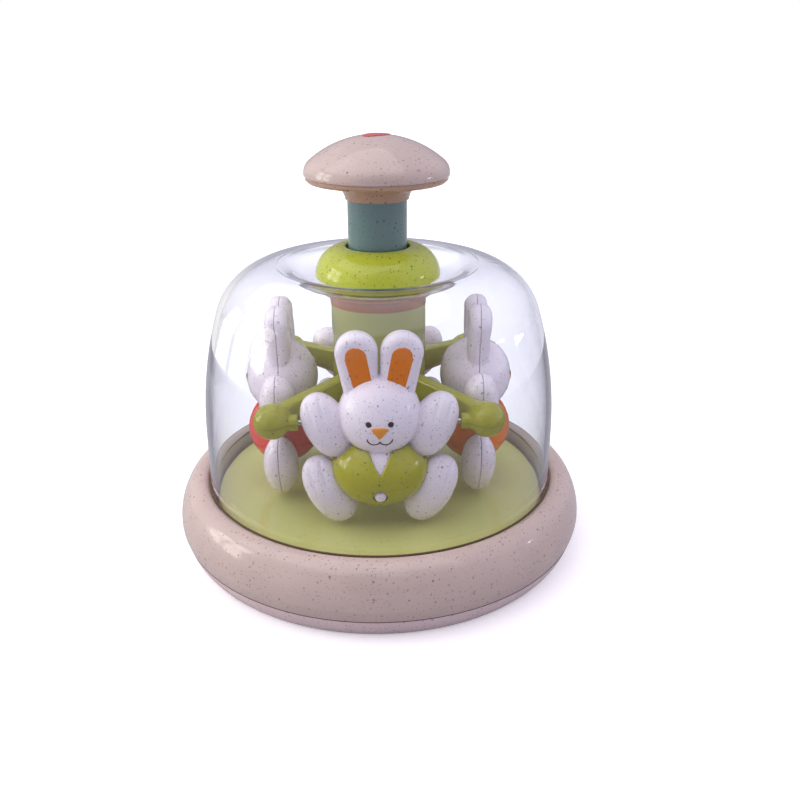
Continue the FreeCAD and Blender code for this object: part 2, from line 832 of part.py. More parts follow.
def make_drive_screw():
    """The rod of the screw, with one groove for each peg of the nut."""
    rod = cylinder("rod_blank", sizes.rod_radius, sizes.rod_foot, sizes.rod_top)
    bore = cylinder("rod_bore", sizes.spindle_radius + sizes.running_fit, sizes.rod_foot,
                    sizes.spindle_top + 1)
    to_pegs = peg_height() - sizes.thread_foot
    twist = FULL_TURN * to_pegs.number / sizes.thread_lead.number
    run_out = sizes.rod_top - sizes.thread_foot + sizes.groove_centre
    grooves = [
        coil(f"groove_{index}", sizes.groove_centre, sizes.groove_radius, sizes.thread_lead,
             sizes.thread_foot, run_out, start - twist)
        for index, start in enumerate(around(len(SIDES)))
    ]
    named(cut("drive_screw", rod, [bore, *grooves]), "drive_screw")


def peg_height():
    return sizes.tube_foot + sizes.drive_nut_height / 2


def make_drive_nut():
    ring = tube("drive_nut_ring", sizes.drive_nut_bore, sizes.tube_bore - sizes.split_gap,
                sizes.tube_foot, sizes.tube_foot + sizes.drive_nut_height)
    base = (sizes.drive_nut_bore + sizes.tube_bore) / 2
    pegs = [
        rod(f"nut_peg_{side}", sizes.peg_radius, "x", *sorted((sizes.peg_tip * side, base * side),
            key=lambda length: length.number), 0, peg_height())
        for side in SIDES
    ]
    named(fuse("drive_nut", [ring, *pegs]), "drive_nut")


def make_clutch():
    """Driver on the screw above, hub in the column below. Their dogs stand clear until a push."""
    dogs = (sizes.tooth_inner + sizes.tooth_outer) / 2
    dog_radius = sizes.tooth_width / 2
    driver = lathe("clutch_driver", sizes.driver_foot, [
        (sizes.driver_radius, sizes.driver_foot),
        (sizes.driver_radius, sizes.driver_foot + sizes.driver_thickness),
        (sizes.driver_sleeve_radius, sizes.driver_foot + sizes.driver_thickness),
        (sizes.driver_sleeve_radius, sizes.driver_sleeve_top),
        (sizes.rod_radius + sizes.split_gap, sizes.driver_sleeve_top),
        (sizes.rod_radius + sizes.split_gap, sizes.driver_foot),
    ])
    pads(driver, "driver_dog", dog_radius, -sizes.tooth_height, Length.of(0), dogs, TOOTH_COUNT)
    outer = sizes.column_bore - sizes.split_gap
    web_top = sizes.hub_foot + sizes.hub_web
    hub = lathe("clutch_hub", sizes.hub_foot, [
        (sizes.sleeve_seat_radius, sizes.hub_foot),
        (sizes.sleeve_seat_radius, sizes.column_foot),
        (outer, sizes.column_foot),
        (outer, sizes.hub_top),
        (outer - sizes.hub_wall, sizes.hub_top),
        (outer - sizes.hub_wall, web_top),
        (sizes.spigot_radius + sizes.running_fit, web_top),
        (sizes.spigot_radius + sizes.running_fit, sizes.hub_foot),
    ])
    pads(hub, "hub_dog", dog_radius, sizes.hub_web, sizes.hub_web + sizes.tooth_height, dogs, TOOTH_COUNT)


def make_drive():
    make_drive_screw()
    make_drive_nut()
    make_clutch()
    named(cylinder("spindle", sizes.spindle_radius, sizes.spindle_foot, sizes.spindle_top), "spindle")
    tube("thrust_washer", sizes.washer_bore, sizes.washer_radius, sizes.floor_boss_top,
         sizes.hub_foot - sizes.split_gap)
    seat = sizes.guide_foot + sizes.seat_depth
    length = sizes.tube_foot - seat - sizes.spring_wire * 2
    spring = coil("return_spring", sizes.spring_radius, sizes.spring_wire, length / sizes.spring_turns,
                  seat + sizes.spring_wire, length, 0)
    named(spring, "return_spring")


# ---------------------------------------------------------------- turning column and arms

def make_column():
    lathe("column_tube", sizes.column_foot, [
        (sizes.sleeve_seat_radius, sizes.column_foot),
        (sizes.sleeve_seat_radius, sizes.sleeve_top),
        (sizes.column_radius, sizes.sleeve_top),
        (sizes.column_radius, sizes.column_top),
        (sizes.column_bore, sizes.column_top),
        (sizes.column_bore, sizes.column_foot),
    ])
    spigot = sizes.column_bore - sizes.split_gap
    bore = sizes.guide_radius + sizes.running_fit
    lathe("column_ring", sizes.column_top - sizes.ring_spigot, [
        (spigot, sizes.column_top - sizes.ring_spigot),
        (spigot, sizes.column_top),
        (sizes.ring_radius, sizes.column_top),
        (sizes.ring_radius, sizes.ring_top),
        (bore, sizes.ring_top),
        (bore, sizes.column_top - sizes.ring_spigot),
    ])


def rod(name, radius, along, start, end, across, height):
    """A level cylinder along x or y from start to end."""
    solid = add("Part::Cylinder", name)
    bind(solid, Radius=radius, Height=Length.of(end) - start)
    if along == "x":
        return place(solid, start, across, height, (0, 1, 0), QUARTER_TURN)
    return place(solid, across, start, height, (1, 0, 0), -QUARTER_TURN)


def ball_spots():
    """Centres of the four ball ends, where the pin lines of neighbouring rabbits cross."""
    return [(sizes.pin_line * x, sizes.pin_line * y) for x in SIDES for y in SIDES]


def ball_ends(name, grow):
    """The four balls with a boss towards each neighbouring rabbit, all grown by grow."""
    pieces = []
    for index, (x, y) in enumerate(ball_spots()):
        pieces.append(sphere(f"{name}_ball_{index}", sizes.ball_radius + grow, x, y, sizes.ball_height))
        for along, own, across in (("x", x, y), ("y", y, x)):
            inward = own * (sizes.boss_reach / sizes.pin_line)
            ends = sorted((own, inward), key=lambda length: length.number)
            pieces.append(rod(f"{name}_boss_{along}{index}", sizes.boss_radius + grow, along, *ends,
                              across, sizes.pin_height))
    return fuse(name, pieces)


def pin_bores():
    reach = sizes.pin_reach + sizes.running_fit
    radius = sizes.pin_radius + sizes.running_fit
    return [rod(f"pin_bore_{along}_{side}", radius, along, -reach, reach, sizes.pin_line * side,
                sizes.pin_height)
            for along in ("x", "y") for side in SIDES]


def make_arms():
    reach = Length.of(KEEPER)
    seam = sizes.pin_height
    above = box("above_seam", (-reach, -reach, seam), (reach, reach, seam + reach))
    below = box("below_seam", (-reach, -reach, seam - reach), (reach, reach, seam - sizes.split_gap))
    balls = ball_ends("ball_ends", Length.of(0))
    sleeve = cylinder("arm_sleeve", sizes.sleeve_radius, sizes.sleeve_foot, sizes.sleeve_top)
    arms = []
    for index, angle in enumerate(around(len(RABBITS), FULL_TURN / len(RABBITS) / 2)):
        arm = add("Part::Box", f"arm_{index}")
        bind(arm, Length=sizes.arm_reach, Width=sizes.arm_thickness,
             Height=sizes.arm_top - sizes.arm_foot)
        x, y = on_circle(sizes.arm_thickness / 2, angle - QUARTER_TURN)
        arms.append(place(arm, x, y, sizes.arm_foot, angle=angle))
    cap_space = common("cap_space", [ball_ends("cap_clearance", sizes.split_gap), below])
    webs = cut("arm_webs", fuse("arm_cross", [sleeve, *arms]), cap_space)
    bore = cylinder("sleeve_bore", sizes.sleeve_seat_radius + sizes.split_gap,
                    sizes.sleeve_foot, sizes.sleeve_top)
    bores = pin_bores()
    holes = [cylinder(f"cap_screw_hole_{index}", sizes.screw_hole_radius,
                      sizes.pin_height - sizes.cap_screw_depth, sizes.cap_screw_end, x, y)
             for index, (x, y) in enumerate(ball_spots())]
    pockets_below = [cylinder(f"cap_screw_pocket_{index}", sizes.screw_pocket_radius,
                              sizes.pin_height - sizes.ball_radius * 2,
                              sizes.pin_height - sizes.cap_screw_depth, x, y)
                     for index, (x, y) in enumerate(ball_spots())]
    spider = fuse("spider_blank", [webs, common("upper_balls", [balls, above])])
    named(cut("arm_spider", spider, [bore, *bores, *holes]), "arm_spider")
    named(cut("pin_caps", common("lower_balls", [balls, below]), [*bores, *holes, *pockets_below]),
          "pin_caps")


# ---------------------------------------------------------------- rabbits

def rabbit_limbs(name, grow):
    """Head, paws and legs as ellipsoids, all grown by grow."""
    head = ellipsoid(f"{name}_head", (sizes.head_half_width + grow, sizes.head_half_depth + grow,
                                      sizes.head_half_height + grow), (0, 0, sizes.head_height))
    limbs = [head]
    for side in SIDES:
        limbs.append(ellipsoid(
            f"{name}_paw_{side}",
            (sizes.paw_half_width + grow, sizes.paw_half_depth + grow, sizes.paw_half_length + grow),
            (sizes.paw_spread * side, 0, sizes.paw_height), side * DIMENSIONS["paw_tilt"]))
        limbs.append(ellipsoid(
            f"{name}_leg_{side}",
            (sizes.leg_half_width + grow, sizes.leg_half_depth + grow, sizes.leg_half_length + grow),
            (sizes.leg_spread * side, 0, sizes.leg_height), side * DIMENSIONS["leg_tilt"]))
    return limbs


def rabbit_ears():
    ears = []
    for side in SIDES:
        ears.append(ellipsoid(
            f"ear_tip_{side}",
            (sizes.ear_half_width, sizes.ear_half_depth, sizes.ear_tip_half_height),
            (sizes.ear_spread * side, -sizes.ear_set_forward, sizes.ear_tip_height)))
        ears.append(ellipsoid(
            f"ear_root_{side}",
            (sizes.ear_root_half_width, sizes.ear_half_depth, sizes.ear_root_half_height),
            (sizes.ear_root_spread * side, -sizes.ear_set_forward, sizes.ear_root_height)))
    return ears


def torso(name, grow):
    return ellipsoid(name, (sizes.vest_half_width + grow, sizes.vest_half_depth + grow,
                            sizes.vest_half_height + grow), (0, 0, sizes.vest_height))


def drawn_prism(name, steps, back, face):
    """An upright outline in x and z, carried forward from y = -back to y = -face."""
    sketch = add("Sketcher::SketchObject", f"{name}_outline")
    place(sketch, y=-back, axis=(1, 0, 0), angle=QUARTER_TURN)
    outline(sketch, steps)
    prism = add("Part::Extrusion", name)
    prism.Base = sketch
    prism.DirMode = "Custom"
    prism.Dir = FreeCAD.Vector(0, -1, 0)
    prism.Solid = True
    bind(prism, LengthFwd=Length.of(face) - back)
    return prism


def ear_lining_pair():
    """The inlay of one ear and its mirror image."""
    right = drawn_prism("ear_lining", [
        (sizes.lining_outer_foot, sizes.lining_foot),
        (sizes.lining_outer, sizes.lining_outer_top),
        (sizes.lining_inner_top, sizes.lining_top, sizes.lining_arc),
        (sizes.lining_inner, sizes.lining_inner_foot),
    ], sizes.lining_back, sizes.lining_face)
    left = add("Part::Mirroring", "ear_lining_mirrored")
    left.Source = right
    left.Base = FreeCAD.Vector(0, 0, 0)
    left.Normal = FreeCAD.Vector(1, 0, 0)
    return [right, left]


def forward_rod(name, radius, back, face, height):
    """A cylinder from y = -back forward to y = -face on the rabbit's middle."""
    solid = add("Part::Cylinder", name)
    bind(solid, Radius=radius, Height=Length.of(face) - back)
    return place(solid, 0, -back, height, (1, 0, 0), QUARTER_TURN)


def stand(thing, label, angle):
    """Put a rabbit's piece on its pin line, facing outward in the direction of angle."""
    x, y = on_circle(sizes.pin_line, angle - QUARTER_TURN)
    return named(place(thing, x, y, 0, angle=angle), label)


def make_rabbits():
    nothing = Length.of(0)
    reach = Length.of(KEEPER)
    half_gap = sizes.split_gap / 2
    front_space = box("front_space", (-reach, -reach, 0), (reach, -half_gap, 2 * reach))
    back_space = box("back_space", (-reach, half_gap, 0), (reach, reach, 2 * reach))
    neckline = drawn_prism("neckline", [
        (sizes.neckline_half_width, sizes.neckline_top),
        (-sizes.neckline_half_width, sizes.neckline_top),
        (0, sizes.neckline_point),
    ], nothing, reach)
    linings = ear_lining_pair()
    pin_hole = rod("rabbit_pin_hole", sizes.pin_radius + sizes.split_gap, "x", -reach, reach, 0,
                   sizes.pin_height)

    core = torso("torso_core", -sizes.vest_thickness - sizes.split_gap)
    bib = common("bib", [torso("bib_outer", nothing), neckline])
    white = fuse("white_form", [*rabbit_limbs("white", nothing), *rabbit_ears(), core, bib])
    wall = sizes.rabbit_wall
    cavity = torso("torso_hollow", -sizes.vest_thickness - wall)
    hollow = fuse("hollow", [*rabbit_limbs("hollow", -wall), cavity])
    button_hole = forward_rod("button_hole", sizes.button_stem_radius + sizes.split_gap, nothing, reach,
                              sizes.button_height)
    button_pocket = forward_rod("button_pocket", sizes.button_radius + sizes.split_gap,
                                sizes.button_seat - sizes.split_gap, reach, sizes.button_height)
    shell = cut("shell_form", white, [hollow, pin_hole, button_hole, button_pocket, *linings])

    button_recess = forward_rod("button_recess", sizes.button_recess_radius, nothing, reach,
                                sizes.button_height)
    vest = cut("vest_form", torso("vest_outer", nothing), [
        torso("vest_inner", -sizes.vest_thickness),
        *rabbit_limbs("vest_clearance", sizes.split_gap),
        neckline,
        button_recess,
    ])

    head = common("button_head", [
        forward_rod("button_disc", sizes.button_radius, sizes.button_seat, sizes.button_face,
                    sizes.button_height),
        sphere("button_dome", sizes.button_dome_radius, 0, sizes.button_dome_radius - sizes.button_face,
               sizes.button_height),
    ])
    stem = forward_rod("button_stem", sizes.button_stem_radius, sizes.button_stem_end, sizes.button_seat,
                       sizes.button_height)

    for name, angle in RABBITS.items():
        for half, space in (("front", front_space), ("back", back_space)):
            for piece, form in (("shell", shell), ("vest", vest)):
                label = f"{name}_rabbit_{piece}_{half}"
                stand(common(label, [form, space]), label, angle)
        label = f"{name}_rabbit_ear_linings"
        stand(fuse(label, linings), label, angle)
        label = f"{name}_rabbit_button"
        stand(fuse(label, [head, stem]), label, angle)
    for name, along, side in (("front", "x", -1), ("right", "y", 1), ("back", "x", 1), ("left", "y", -1)):
        pin = rod(f"{name}_rabbit_pin", sizes.pin_radius, along, -sizes.pin_reach, sizes.pin_reach,
                  sizes.pin_line * side, sizes.pin_height)
        named(pin, f"{name}_rabbit_pin")


# ---------------------------------------------------------------- nodes

def node_names():
    """Every sub-part that is written, in the order of assembly."""
    names = ["base_bottom", "base_ring", "floor_plate", "dome", "collar", "collar_nut", "spring_seat",
             "base_screws", "floor_screws", "spindle", "thrust_washer", "plunger_tube", "knob_plate",
             "knob_cap", "knob_badge", "knob_screw", "drive_nut", "drive_screw", "clutch_driver",
             "return_spring", "clutch_hub", "column_tube", "column_ring", "arm_spider", "pin_caps",
             "cap_screws"]
    pieces = ("shell_front", "shell_back", "vest_front", "vest_back", "ear_linings", "button", "pin")
    return names + [f"{rabbit}_rabbit_{piece}" for rabbit in RABBITS for piece in pieces]


def check_and_write():
    """Stop on any failed object, then write one STEP file for each node."""
    for thing in doc.Objects:
        if "Invalid" in thing.State or "Error" in thing.State:
            raise RuntimeError(f"{thing.Name} failed: {thing.State}")
    shapes = {}
    for name in node_names():
        shape = doc.getObjectsByLabel(name)[0].Shape
        if shape.isNull() or not shape.isValid() or shape.Volume <= 0:
            raise RuntimeError(f"{name} has no valid shape")
        shapes[name] = shape
    os.makedirs("parts", exist_ok=True)
    for name, shape in shapes.items():
        shape.exportStep(f"parts/{name}.step")


make_base_bottom()
make_base_ring()
make_floor_plate()
make_dome()
make_collar()
make_screws()
make_plunger_tube()
make_knob_plate()
make_knob()
make_drive()
make_column()
make_arms()
make_rabbits()
doc.recompute()
check_and_write()
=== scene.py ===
import json
from math import cos, pi, radians, sin, sqrt

import bmesh
import bpy
import numpy as np
from mathutils import Matrix, Vector


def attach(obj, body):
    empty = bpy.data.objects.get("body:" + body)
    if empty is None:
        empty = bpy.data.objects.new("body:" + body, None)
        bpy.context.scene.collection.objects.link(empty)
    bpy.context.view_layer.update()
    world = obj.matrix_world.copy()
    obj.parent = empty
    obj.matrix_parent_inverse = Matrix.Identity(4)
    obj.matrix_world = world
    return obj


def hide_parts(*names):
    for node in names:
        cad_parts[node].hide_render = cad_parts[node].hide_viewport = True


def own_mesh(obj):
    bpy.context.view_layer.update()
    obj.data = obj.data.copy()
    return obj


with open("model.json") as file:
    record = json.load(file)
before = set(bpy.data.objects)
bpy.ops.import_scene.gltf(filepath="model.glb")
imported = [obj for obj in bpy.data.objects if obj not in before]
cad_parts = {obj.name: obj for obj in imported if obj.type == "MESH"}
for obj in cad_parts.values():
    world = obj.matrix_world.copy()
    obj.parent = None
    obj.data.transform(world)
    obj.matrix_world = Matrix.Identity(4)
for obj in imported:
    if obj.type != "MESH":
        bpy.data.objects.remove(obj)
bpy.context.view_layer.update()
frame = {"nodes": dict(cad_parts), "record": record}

# Push-and-spin toy carousel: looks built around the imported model.
# Shapes are worked out in millimetres and turned into metres when a mesh is made. Angles are in degrees.

MM = 0.001
SCENE = bpy.context.scene

# how far round the column each rabbit hangs, and how far out its pin is
RABBITS = {"front": 0, "right": 90, "back": 180, "left": 270}
REACH = 40


# ------------------------------------------------------------------ meshes

LATHE_STEPS = 192
CREASE_ANGLE = 32


def link(thing):
    SCENE.collection.objects.link(thing)
    return thing


def make_object(name, points, faces):
    """A smooth mesh object from points in millimetres."""
    mesh = bpy.data.meshes.new(name)
    mesh.from_pydata((np.asarray(points, float) * MM).tolist(), [], [tuple(face) for face in faces])
    mesh.polygons.foreach_set("use_smooth", [True] * len(mesh.polygons))
    mesh.update()
    return link(bpy.data.objects.new(name, mesh))


def dress(thing, material, slot, body, *stands_for):
    """Material, body and replaced CAD nodes of a new piece; slot is not used."""
    thing.data.materials.clear()
    thing.data.materials.append(material)
    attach(thing, body)
    if stands_for:
        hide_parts(*stands_for)


def lathe(name, outline):
    """A turned piece: outline is a closed loop of (radius, height) pairs, run round the Z axis."""
    angles = np.arange(LATHE_STEPS) * 2 * pi / LATHE_STEPS
    points = [(r * cos(a), r * sin(a), z) for a in angles for r, z in outline]
    count = len(outline)
    faces = []
    for i in range(LATHE_STEPS):
        here, there = i * count, (i + 1) % LATHE_STEPS * count
        for j in range(count):
            k = (j + 1) % count
            faces.append((here + j, there + j, there + k, here + k))
    turned_piece = make_object(name, points, faces)
    turned_piece.data.set_sharp_from_angle(angle=radians(CREASE_ANGLE))
    return turned_piece


def ring_faces(count, rings):
    """Quads between rings of count points each, the points listed ring by ring."""
    faces = []
    for ring in range(rings - 1):
        for i in range(count):
            j = (i + 1) % count
            faces.append((ring * count + i, ring * count + j, (ring + 1) * count + j, (ring + 1) * count + i))
    return faces


def gathered(parts):
    """Several (points, faces) as one."""
    points, faces = [], []
    for more_points, more_faces in parts:
        start = len(points)
        points += list(more_points)
        faces += [tuple(start + i for i in face) for face in more_faces]
    return points, faces


def circle(x, z, radius, count=28):
    turns = [2 * pi * i / count for i in range(count)]
    return [(x + radius * cos(turn), z + radius * sin(turn)) for turn in turns]


def rounded(corners, radius, steps=6):
    """A polygon with its corners rounded, for corners given anticlockwise."""
    corners = [np.array(corner, float) for corner in corners]
    spots = []
    for before, corner, after in zip(corners[-1:] + corners[:-1], corners, corners[1:] + corners[:1]):
        back = (before - corner) / np.linalg.norm(before - corner)
        on = (after - corner) / np.linalg.norm(after - corner)
        for i in range(steps + 1):
            t = i / steps
            spots.append(corner + radius * ((1 - t) ** 2 * back + t ** 2 * on))
    return spots


# ------------------------------------------------------------------ shapes from distances
# A shape is a function that gives each point's distance, near enough, to its surface: negative inside.

RELAX_ROUNDS, PULLS_A_ROUND, RELAX_SHARE = 4, 2, 0.5
SLOPE_REACH, SLOPE_FLOOR, LONGEST_PULL = 0.02, 0.05, 0.5


def surface_net(field, low, high, step):
    """Quad mesh of the shape field between corners low and high, from a grid with this step."""
    axes = [np.arange(a - 2 * step, b + 3 * step, step) for a, b in zip(low, high)]
    grid = np.stack(np.meshgrid(*axes, indexing="ij"), axis=-1)
    shape = grid.shape[:3]
    inside = field(grid.reshape(-1, 3)).reshape(shape) < 0
    count = np.zeros([n - 1 for n in shape], int)
    for i in (0, 1):
        for j in (0, 1):
            for k in (0, 1):
                count += inside[i:shape[0] - 1 + i, j:shape[1] - 1 + j, k:shape[2] - 1 + k]
    mixed = (count > 0) & (count < 8)
    number = np.full(mixed.shape, -1)
    number[mixed] = np.arange(mixed.sum())
    points = grid[:-1, :-1, :-1][mixed] + step / 2
    faces = np.concatenate([net_faces(inside, number, axis) for axis in range(3)])
    return settle(field, points, faces, step), faces.tolist()


def net_faces(inside, number, axis):
    """A quad round every grid edge along axis that crosses the surface, facing outwards."""
    size = inside.shape[axis]
    near = np.take(inside, range(size - 1), axis)
    far = np.take(inside, range(1, size), axis)
    crossed = np.argwhere(near != far)
    one, two = [a for a in range(3) if a != axis]
    corners = []
    for a, b in ((0, 0), (1, 0), (1, 1), (0, 1)):
        cell = crossed.copy()
        cell[:, one] -= a
        cell[:, two] -= b
        corners.append(number[tuple(cell.T)])
    quads = np.stack(corners, axis=1)
    backwards = near[tuple(crossed.T)] == (axis == 1)
    quads[backwards] = quads[backwards][:, ::-1]
    return quads


def settle(field, points, faces, step):
    """Relax the points along the mesh and pull them back onto the surface."""
    edges = np.concatenate([faces[:, [i, (i + 1) % 4]] for i in range(4)])
    ends = np.concatenate([edges, edges[:, ::-1]])
    degree = np.bincount(ends[:, 0], minlength=len(points))[:, None]
    for relaxing in range(RELAX_ROUNDS):
        sums = [np.bincount(ends[:, 0], points[ends[:, 1], axis], len(points)) for axis in range(3)]
        total = np.stack(sums, 1)
        points = points + RELAX_SHARE * (total / degree - points)
        for pulling in range(PULLS_A_ROUND):
            points = pulled(field, points, step)
    return points


def pulled(field, points, step):
    """One Newton step towards the surface, capped at a share of a grid step."""
    value = field(points)
    slopes = [(field(points + SLOPE_REACH * axis) - value) / SLOPE_REACH for axis in np.eye(3)]
    slope = np.stack(slopes, axis=1)
    move = -(value / np.maximum((slope ** 2).sum(1), SLOPE_FLOOR))[:, None] * slope
    length = np.linalg.norm(move, axis=1, keepdims=True)
    return points + move * np.minimum(1, LONGEST_PULL * step / np.maximum(length, 1e-9))


def turned(points, centre, tilt):
    """Points seen from centre, turned about Y so that a shape leaning out by tilt stands upright."""
    local = points - np.array(centre)
    c, s = cos(radians(tilt)), sin(radians(tilt))
    return np.stack([c * local[:, 0] - s * local[:, 2], local[:, 1], s * local[:, 0] + c * local[:, 2]], 1)


def egg(local, halves, power=2.0):
    """An ellipsoid; a power over 2 makes it fuller."""
    share = np.abs(local) / np.array(halves)
    size = np.maximum((share ** power).sum(1), 1e-9) ** (1 / power)
    slope = np.linalg.norm(share ** (power - 1) / np.array(halves), axis=1) / size ** (power - 1)
    return (size - 1) / np.maximum(slope, 1e-6)


def merged(first, second, blend):
    """Union with a fillet of about blend millimetres."""
    share = np.clip(0.5 + 0.5 * (second - first) / blend, 0, 1)
    return second * (1 - share) + first * share - blend * share * (1 - share)


def carved(first, tool, blend):
    """first with tool taken out, its edge rounded."""
    return -merged(-first, tool, blend)


def slab(flat, across, half_thick, edge):
    """A plate of the 2D shape flat, half_thick either way across, with rounded edges."""
    a, b = flat + edge, np.abs(across) - half_thick + edge
    return np.hypot(np.maximum(a, 0), np.maximum(b, 0)) + np.minimum(np.maximum(a, b), 0) - edge


def tapered(flat_points, start, start_radius, end, end_radius):
    """2D shape of two circles and the band between them."""
    start, along = np.array(start, float), np.array(end, float) - np.array(start, float)
    share = np.clip((flat_points - start) @ along / (along @ along), 0, 1)
    gap = np.linalg.norm(flat_points - start - share[:, None] * along, axis=1)
    return gap - start_radius - share * (end_radius - start_radius)


def polygon(flat_points, corners):
    """2D shape of a polygon."""
    corners = np.array(corners, float)
    nearest = np.full(len(flat_points), 1e9)
    within = np.zeros(len(flat_points), bool)
    for a, b in zip(corners, np.roll(corners, -1, axis=0)):
        edge, away = b - a, flat_points - a
        share = np.clip(away @ edge / (edge @ edge), 0, 1)
        nearest = np.minimum(nearest, np.linalg.norm(away - share[:, None] * edge, axis=1))
        spans = (a[1] > flat_points[:, 1]) != (b[1] > flat_points[:, 1])
        rise = np.where(edge[1] == 0, 1e-9, edge[1])
        within ^= spans & (flat_points[:, 0] < a[0] + away[:, 1] / rise * edge[0])
    return np.where(within, -nearest, nearest)


PARTING_GAP, PARTING_LIP = 0.12, 0.8


def half(name, whole, side, axis=1, level=0.0):
    """The part of a mesh on one side of a parting plane across axis, with a lip turned in along the cut."""
    across = Vector([side * (i == axis) for i in range(3)])
    part = bmesh.new()
    part.from_mesh(whole.data)
    cut = across * (side * level + PARTING_GAP) * MM
    bmesh.ops.bisect_plane(part, geom=part.verts[:] + part.edges[:] + part.faces[:],
                           plane_co=cut, plane_no=across, clear_inner=True)
    part.normal_update()
    rim = [edge for edge in part.edges if edge.is_boundary]
    inward = {}
    for vert in {vert for edge in rim for vert in edge.verts}:
        inward[vert] = (vert.normal.dot(across) * across - vert.normal).normalized()
    lip = bmesh.ops.extrude_edge_only(part, edges=rim)["geom"]
    for vert in [item for item in lip if isinstance(item, bmesh.types.BMVert)]:
        start = next(edge.other_vert(vert) for edge in vert.link_edges if edge.other_vert(vert) in inward)
        vert.co = start.co + inward[start] * PARTING_LIP * MM
    mesh = bpy.data.meshes.new(name)
    part.to_mesh(mesh)
    part.free()
    mesh.polygons.foreach_set("use_smooth", [True] * len(mesh.polygons))
    return mesh


# ------------------------------------------------------------------ materials

def colour(red, green, blue):
    """A linear colour from 0-255 screen values."""
    return tuple((c / 255) ** 2.2 for c in (red, green, blue)) + (1,)


def darker(base, share):
    """A colour with a share of its light taken off."""
    return tuple(c * (1 - share) for c in base[:3]) + (1,)


class Shader:
    """The node tree of a material or a world, built node by node."""

    def __init__(self, owner):
        self.owner = owner
        owner.use_nodes = True
        self.tree = owner.node_tree
        self.tree.nodes.clear()

    def node(self, kind, inputs=None, **settings):
        made = self.tree.nodes.new("ShaderNode" + kind)
        for key, value in settings.items():
            setattr(made, key, value)
        for key, value in (inputs or {}).items():
            self.feed(made.inputs[key], value)
        return made

    def feed(self, socket, value):
        if isinstance(value, bpy.types.NodeSocket):
            self.tree.links.new(value, socket)
        else:
            socket.default_value = value

    def place(self):
        """Where the point is on its object, in metres."""
        return self.node("TexCoord").outputs["Object"]

    def math(self, operation, first, second=0.0, clamp=False):
        return self.node("Math", {0: first, 1: second}, operation=operation, use_clamp=clamp).outputs[0]

    def between(self, value, low, high, out_low=0.0, out_high=1.0):
        """value's place between low and high, held within them and eased."""
        inputs = {"Value": value, "From Min": low, "From Max": high, "To Min": out_low, "To Max": out_high}
        return self.node("MapRange", inputs, interpolation_type="SMOOTHSTEP").outputs["Result"]

    def middle(self, value, out_low=0.0, out_high=1.0):
        """A noise value, which keeps near a half, spread over the whole range."""
        return self.between(value, 0.3, 0.7, out_low, out_high)

    def mix(self, share, first, second):
        made = self.node("Mix", data_type="RGBA")
        self.feed(made.inputs[0], share)
        self.feed(made.inputs[6], first)
        self.feed(made.inputs[7], second)
        return made.outputs[2]

    def noise(self, per_metre, detail=2.0):
        inputs = {"Vector": self.place(), "Scale": per_metre, "Detail": detail}
        return self.node("TexNoise", inputs).outputs["Fac"]

    def flecks(self, spacing, radius, share):
        """Mask of small round flecks: spacing and largest radius in millimetres, share of them kept."""
        cells = self.node("TexVoronoi", {"Vector": self.place(), "Scale": 1 / (spacing * MM)})
        random = self.node("SeparateColor", {0: cells.outputs["Color"]})
        reach = self.math("MULTIPLY", random.outputs[0], radius / spacing)
        inside = self.math("LESS_THAN", cells.outputs["Distance"], reach)
        kept = self.math("LESS_THAN", random.outputs[1], share)
        return self.math("MULTIPLY", inside, kept)

    def bump(self, height, distance, strength):
        """A bumpy normal: height from 0 to 1 over a distance in millimetres."""
        inputs = {"Height": height, "Distance": distance * MM, "Strength": strength}
        return self.node("Bump", inputs).outputs["Normal"]

    def looked_at(self):
        """1 where the eye looks, straight or through the clear dome."""
        path = self.node("LightPath").outputs
        bounced = self.math("ADD", path["Diffuse Depth"], path["Glossy Depth"])
        through = self.math("MULTIPLY", path["Is Transmission Ray"], self.math("LESS_THAN", bounced, 0.5))
        return self.math("MAXIMUM", path["Is Camera Ray"], through)

    def mirrored(self):
        """1 in mirror images; light bent by glass also counts as glossy, so that part is taken off."""
        path = self.node("LightPath").outputs
        return self.math("SUBTRACT", path["Is Glossy Ray"], path["Is Transmission Ray"], clamp=True)

    def finish(self, surface, output="OutputMaterial"):
        self.tree.links.new(surface, self.node(output).inputs["Surface"])
        return self.owner


def new_shader(name):
    return Shader(bpy.data.materials.new(name))


FLECK_BROWN, FLECK_GREY = colour(74, 52, 44), colour(92, 88, 98)
# spacing and largest radius of each size of fleck, the share of them kept, and how strong they are
FLECK_SIZES = ((1.0, 0.34, 0.9, 0.45), (1.6, 0.45, 0.7, 0.7), (2.6, 0.52, 0.7, 1.0))
PLASTIC_IOR, ROUGHNESS_SPREAD = 1.5, 0.1


def plastic(name, base, flecked, roughness=0.12, haze=0.06, fleck=FLECK_BROWN):
    """Glossy moulded plastic with bran-like flecks, many fine ones and a few large ones.

    flecked is how strongly the flecks show, and haze is the share of light that its clouds take off.
    """
    s = new_shader(name)
    cloud = s.noise(per_metre=60, detail=3)
    tone = s.mix(s.middle(cloud), darker(base, haze), base)
    for spacing, radius, share, weight in FLECK_SIZES:
        mask = s.math("MULTIPLY", s.flecks(spacing, radius, share), weight * flecked)
        tone = s.mix(mask, tone, fleck)
    dull = s.middle(cloud, roughness * (1 - ROUGHNESS_SPREAD), roughness * (1 + ROUGHNESS_SPREAD))
    ripple = s.bump(s.noise(per_metre=350), distance=0.04, strength=0.15)
    inputs = {"Base Color": tone, "Roughness": dull, "IOR": PLASTIC_IOR, "Normal": ripple}
    return s.finish(s.node("BsdfPrincipled", inputs).outputs[0])


DOME_TINT_FACING, DOME_TINT_EDGE_ON = (0.934, 0.945, 0.962, 1), (0.93, 0.94, 0.96, 1)
DOME_IOR = 1.49


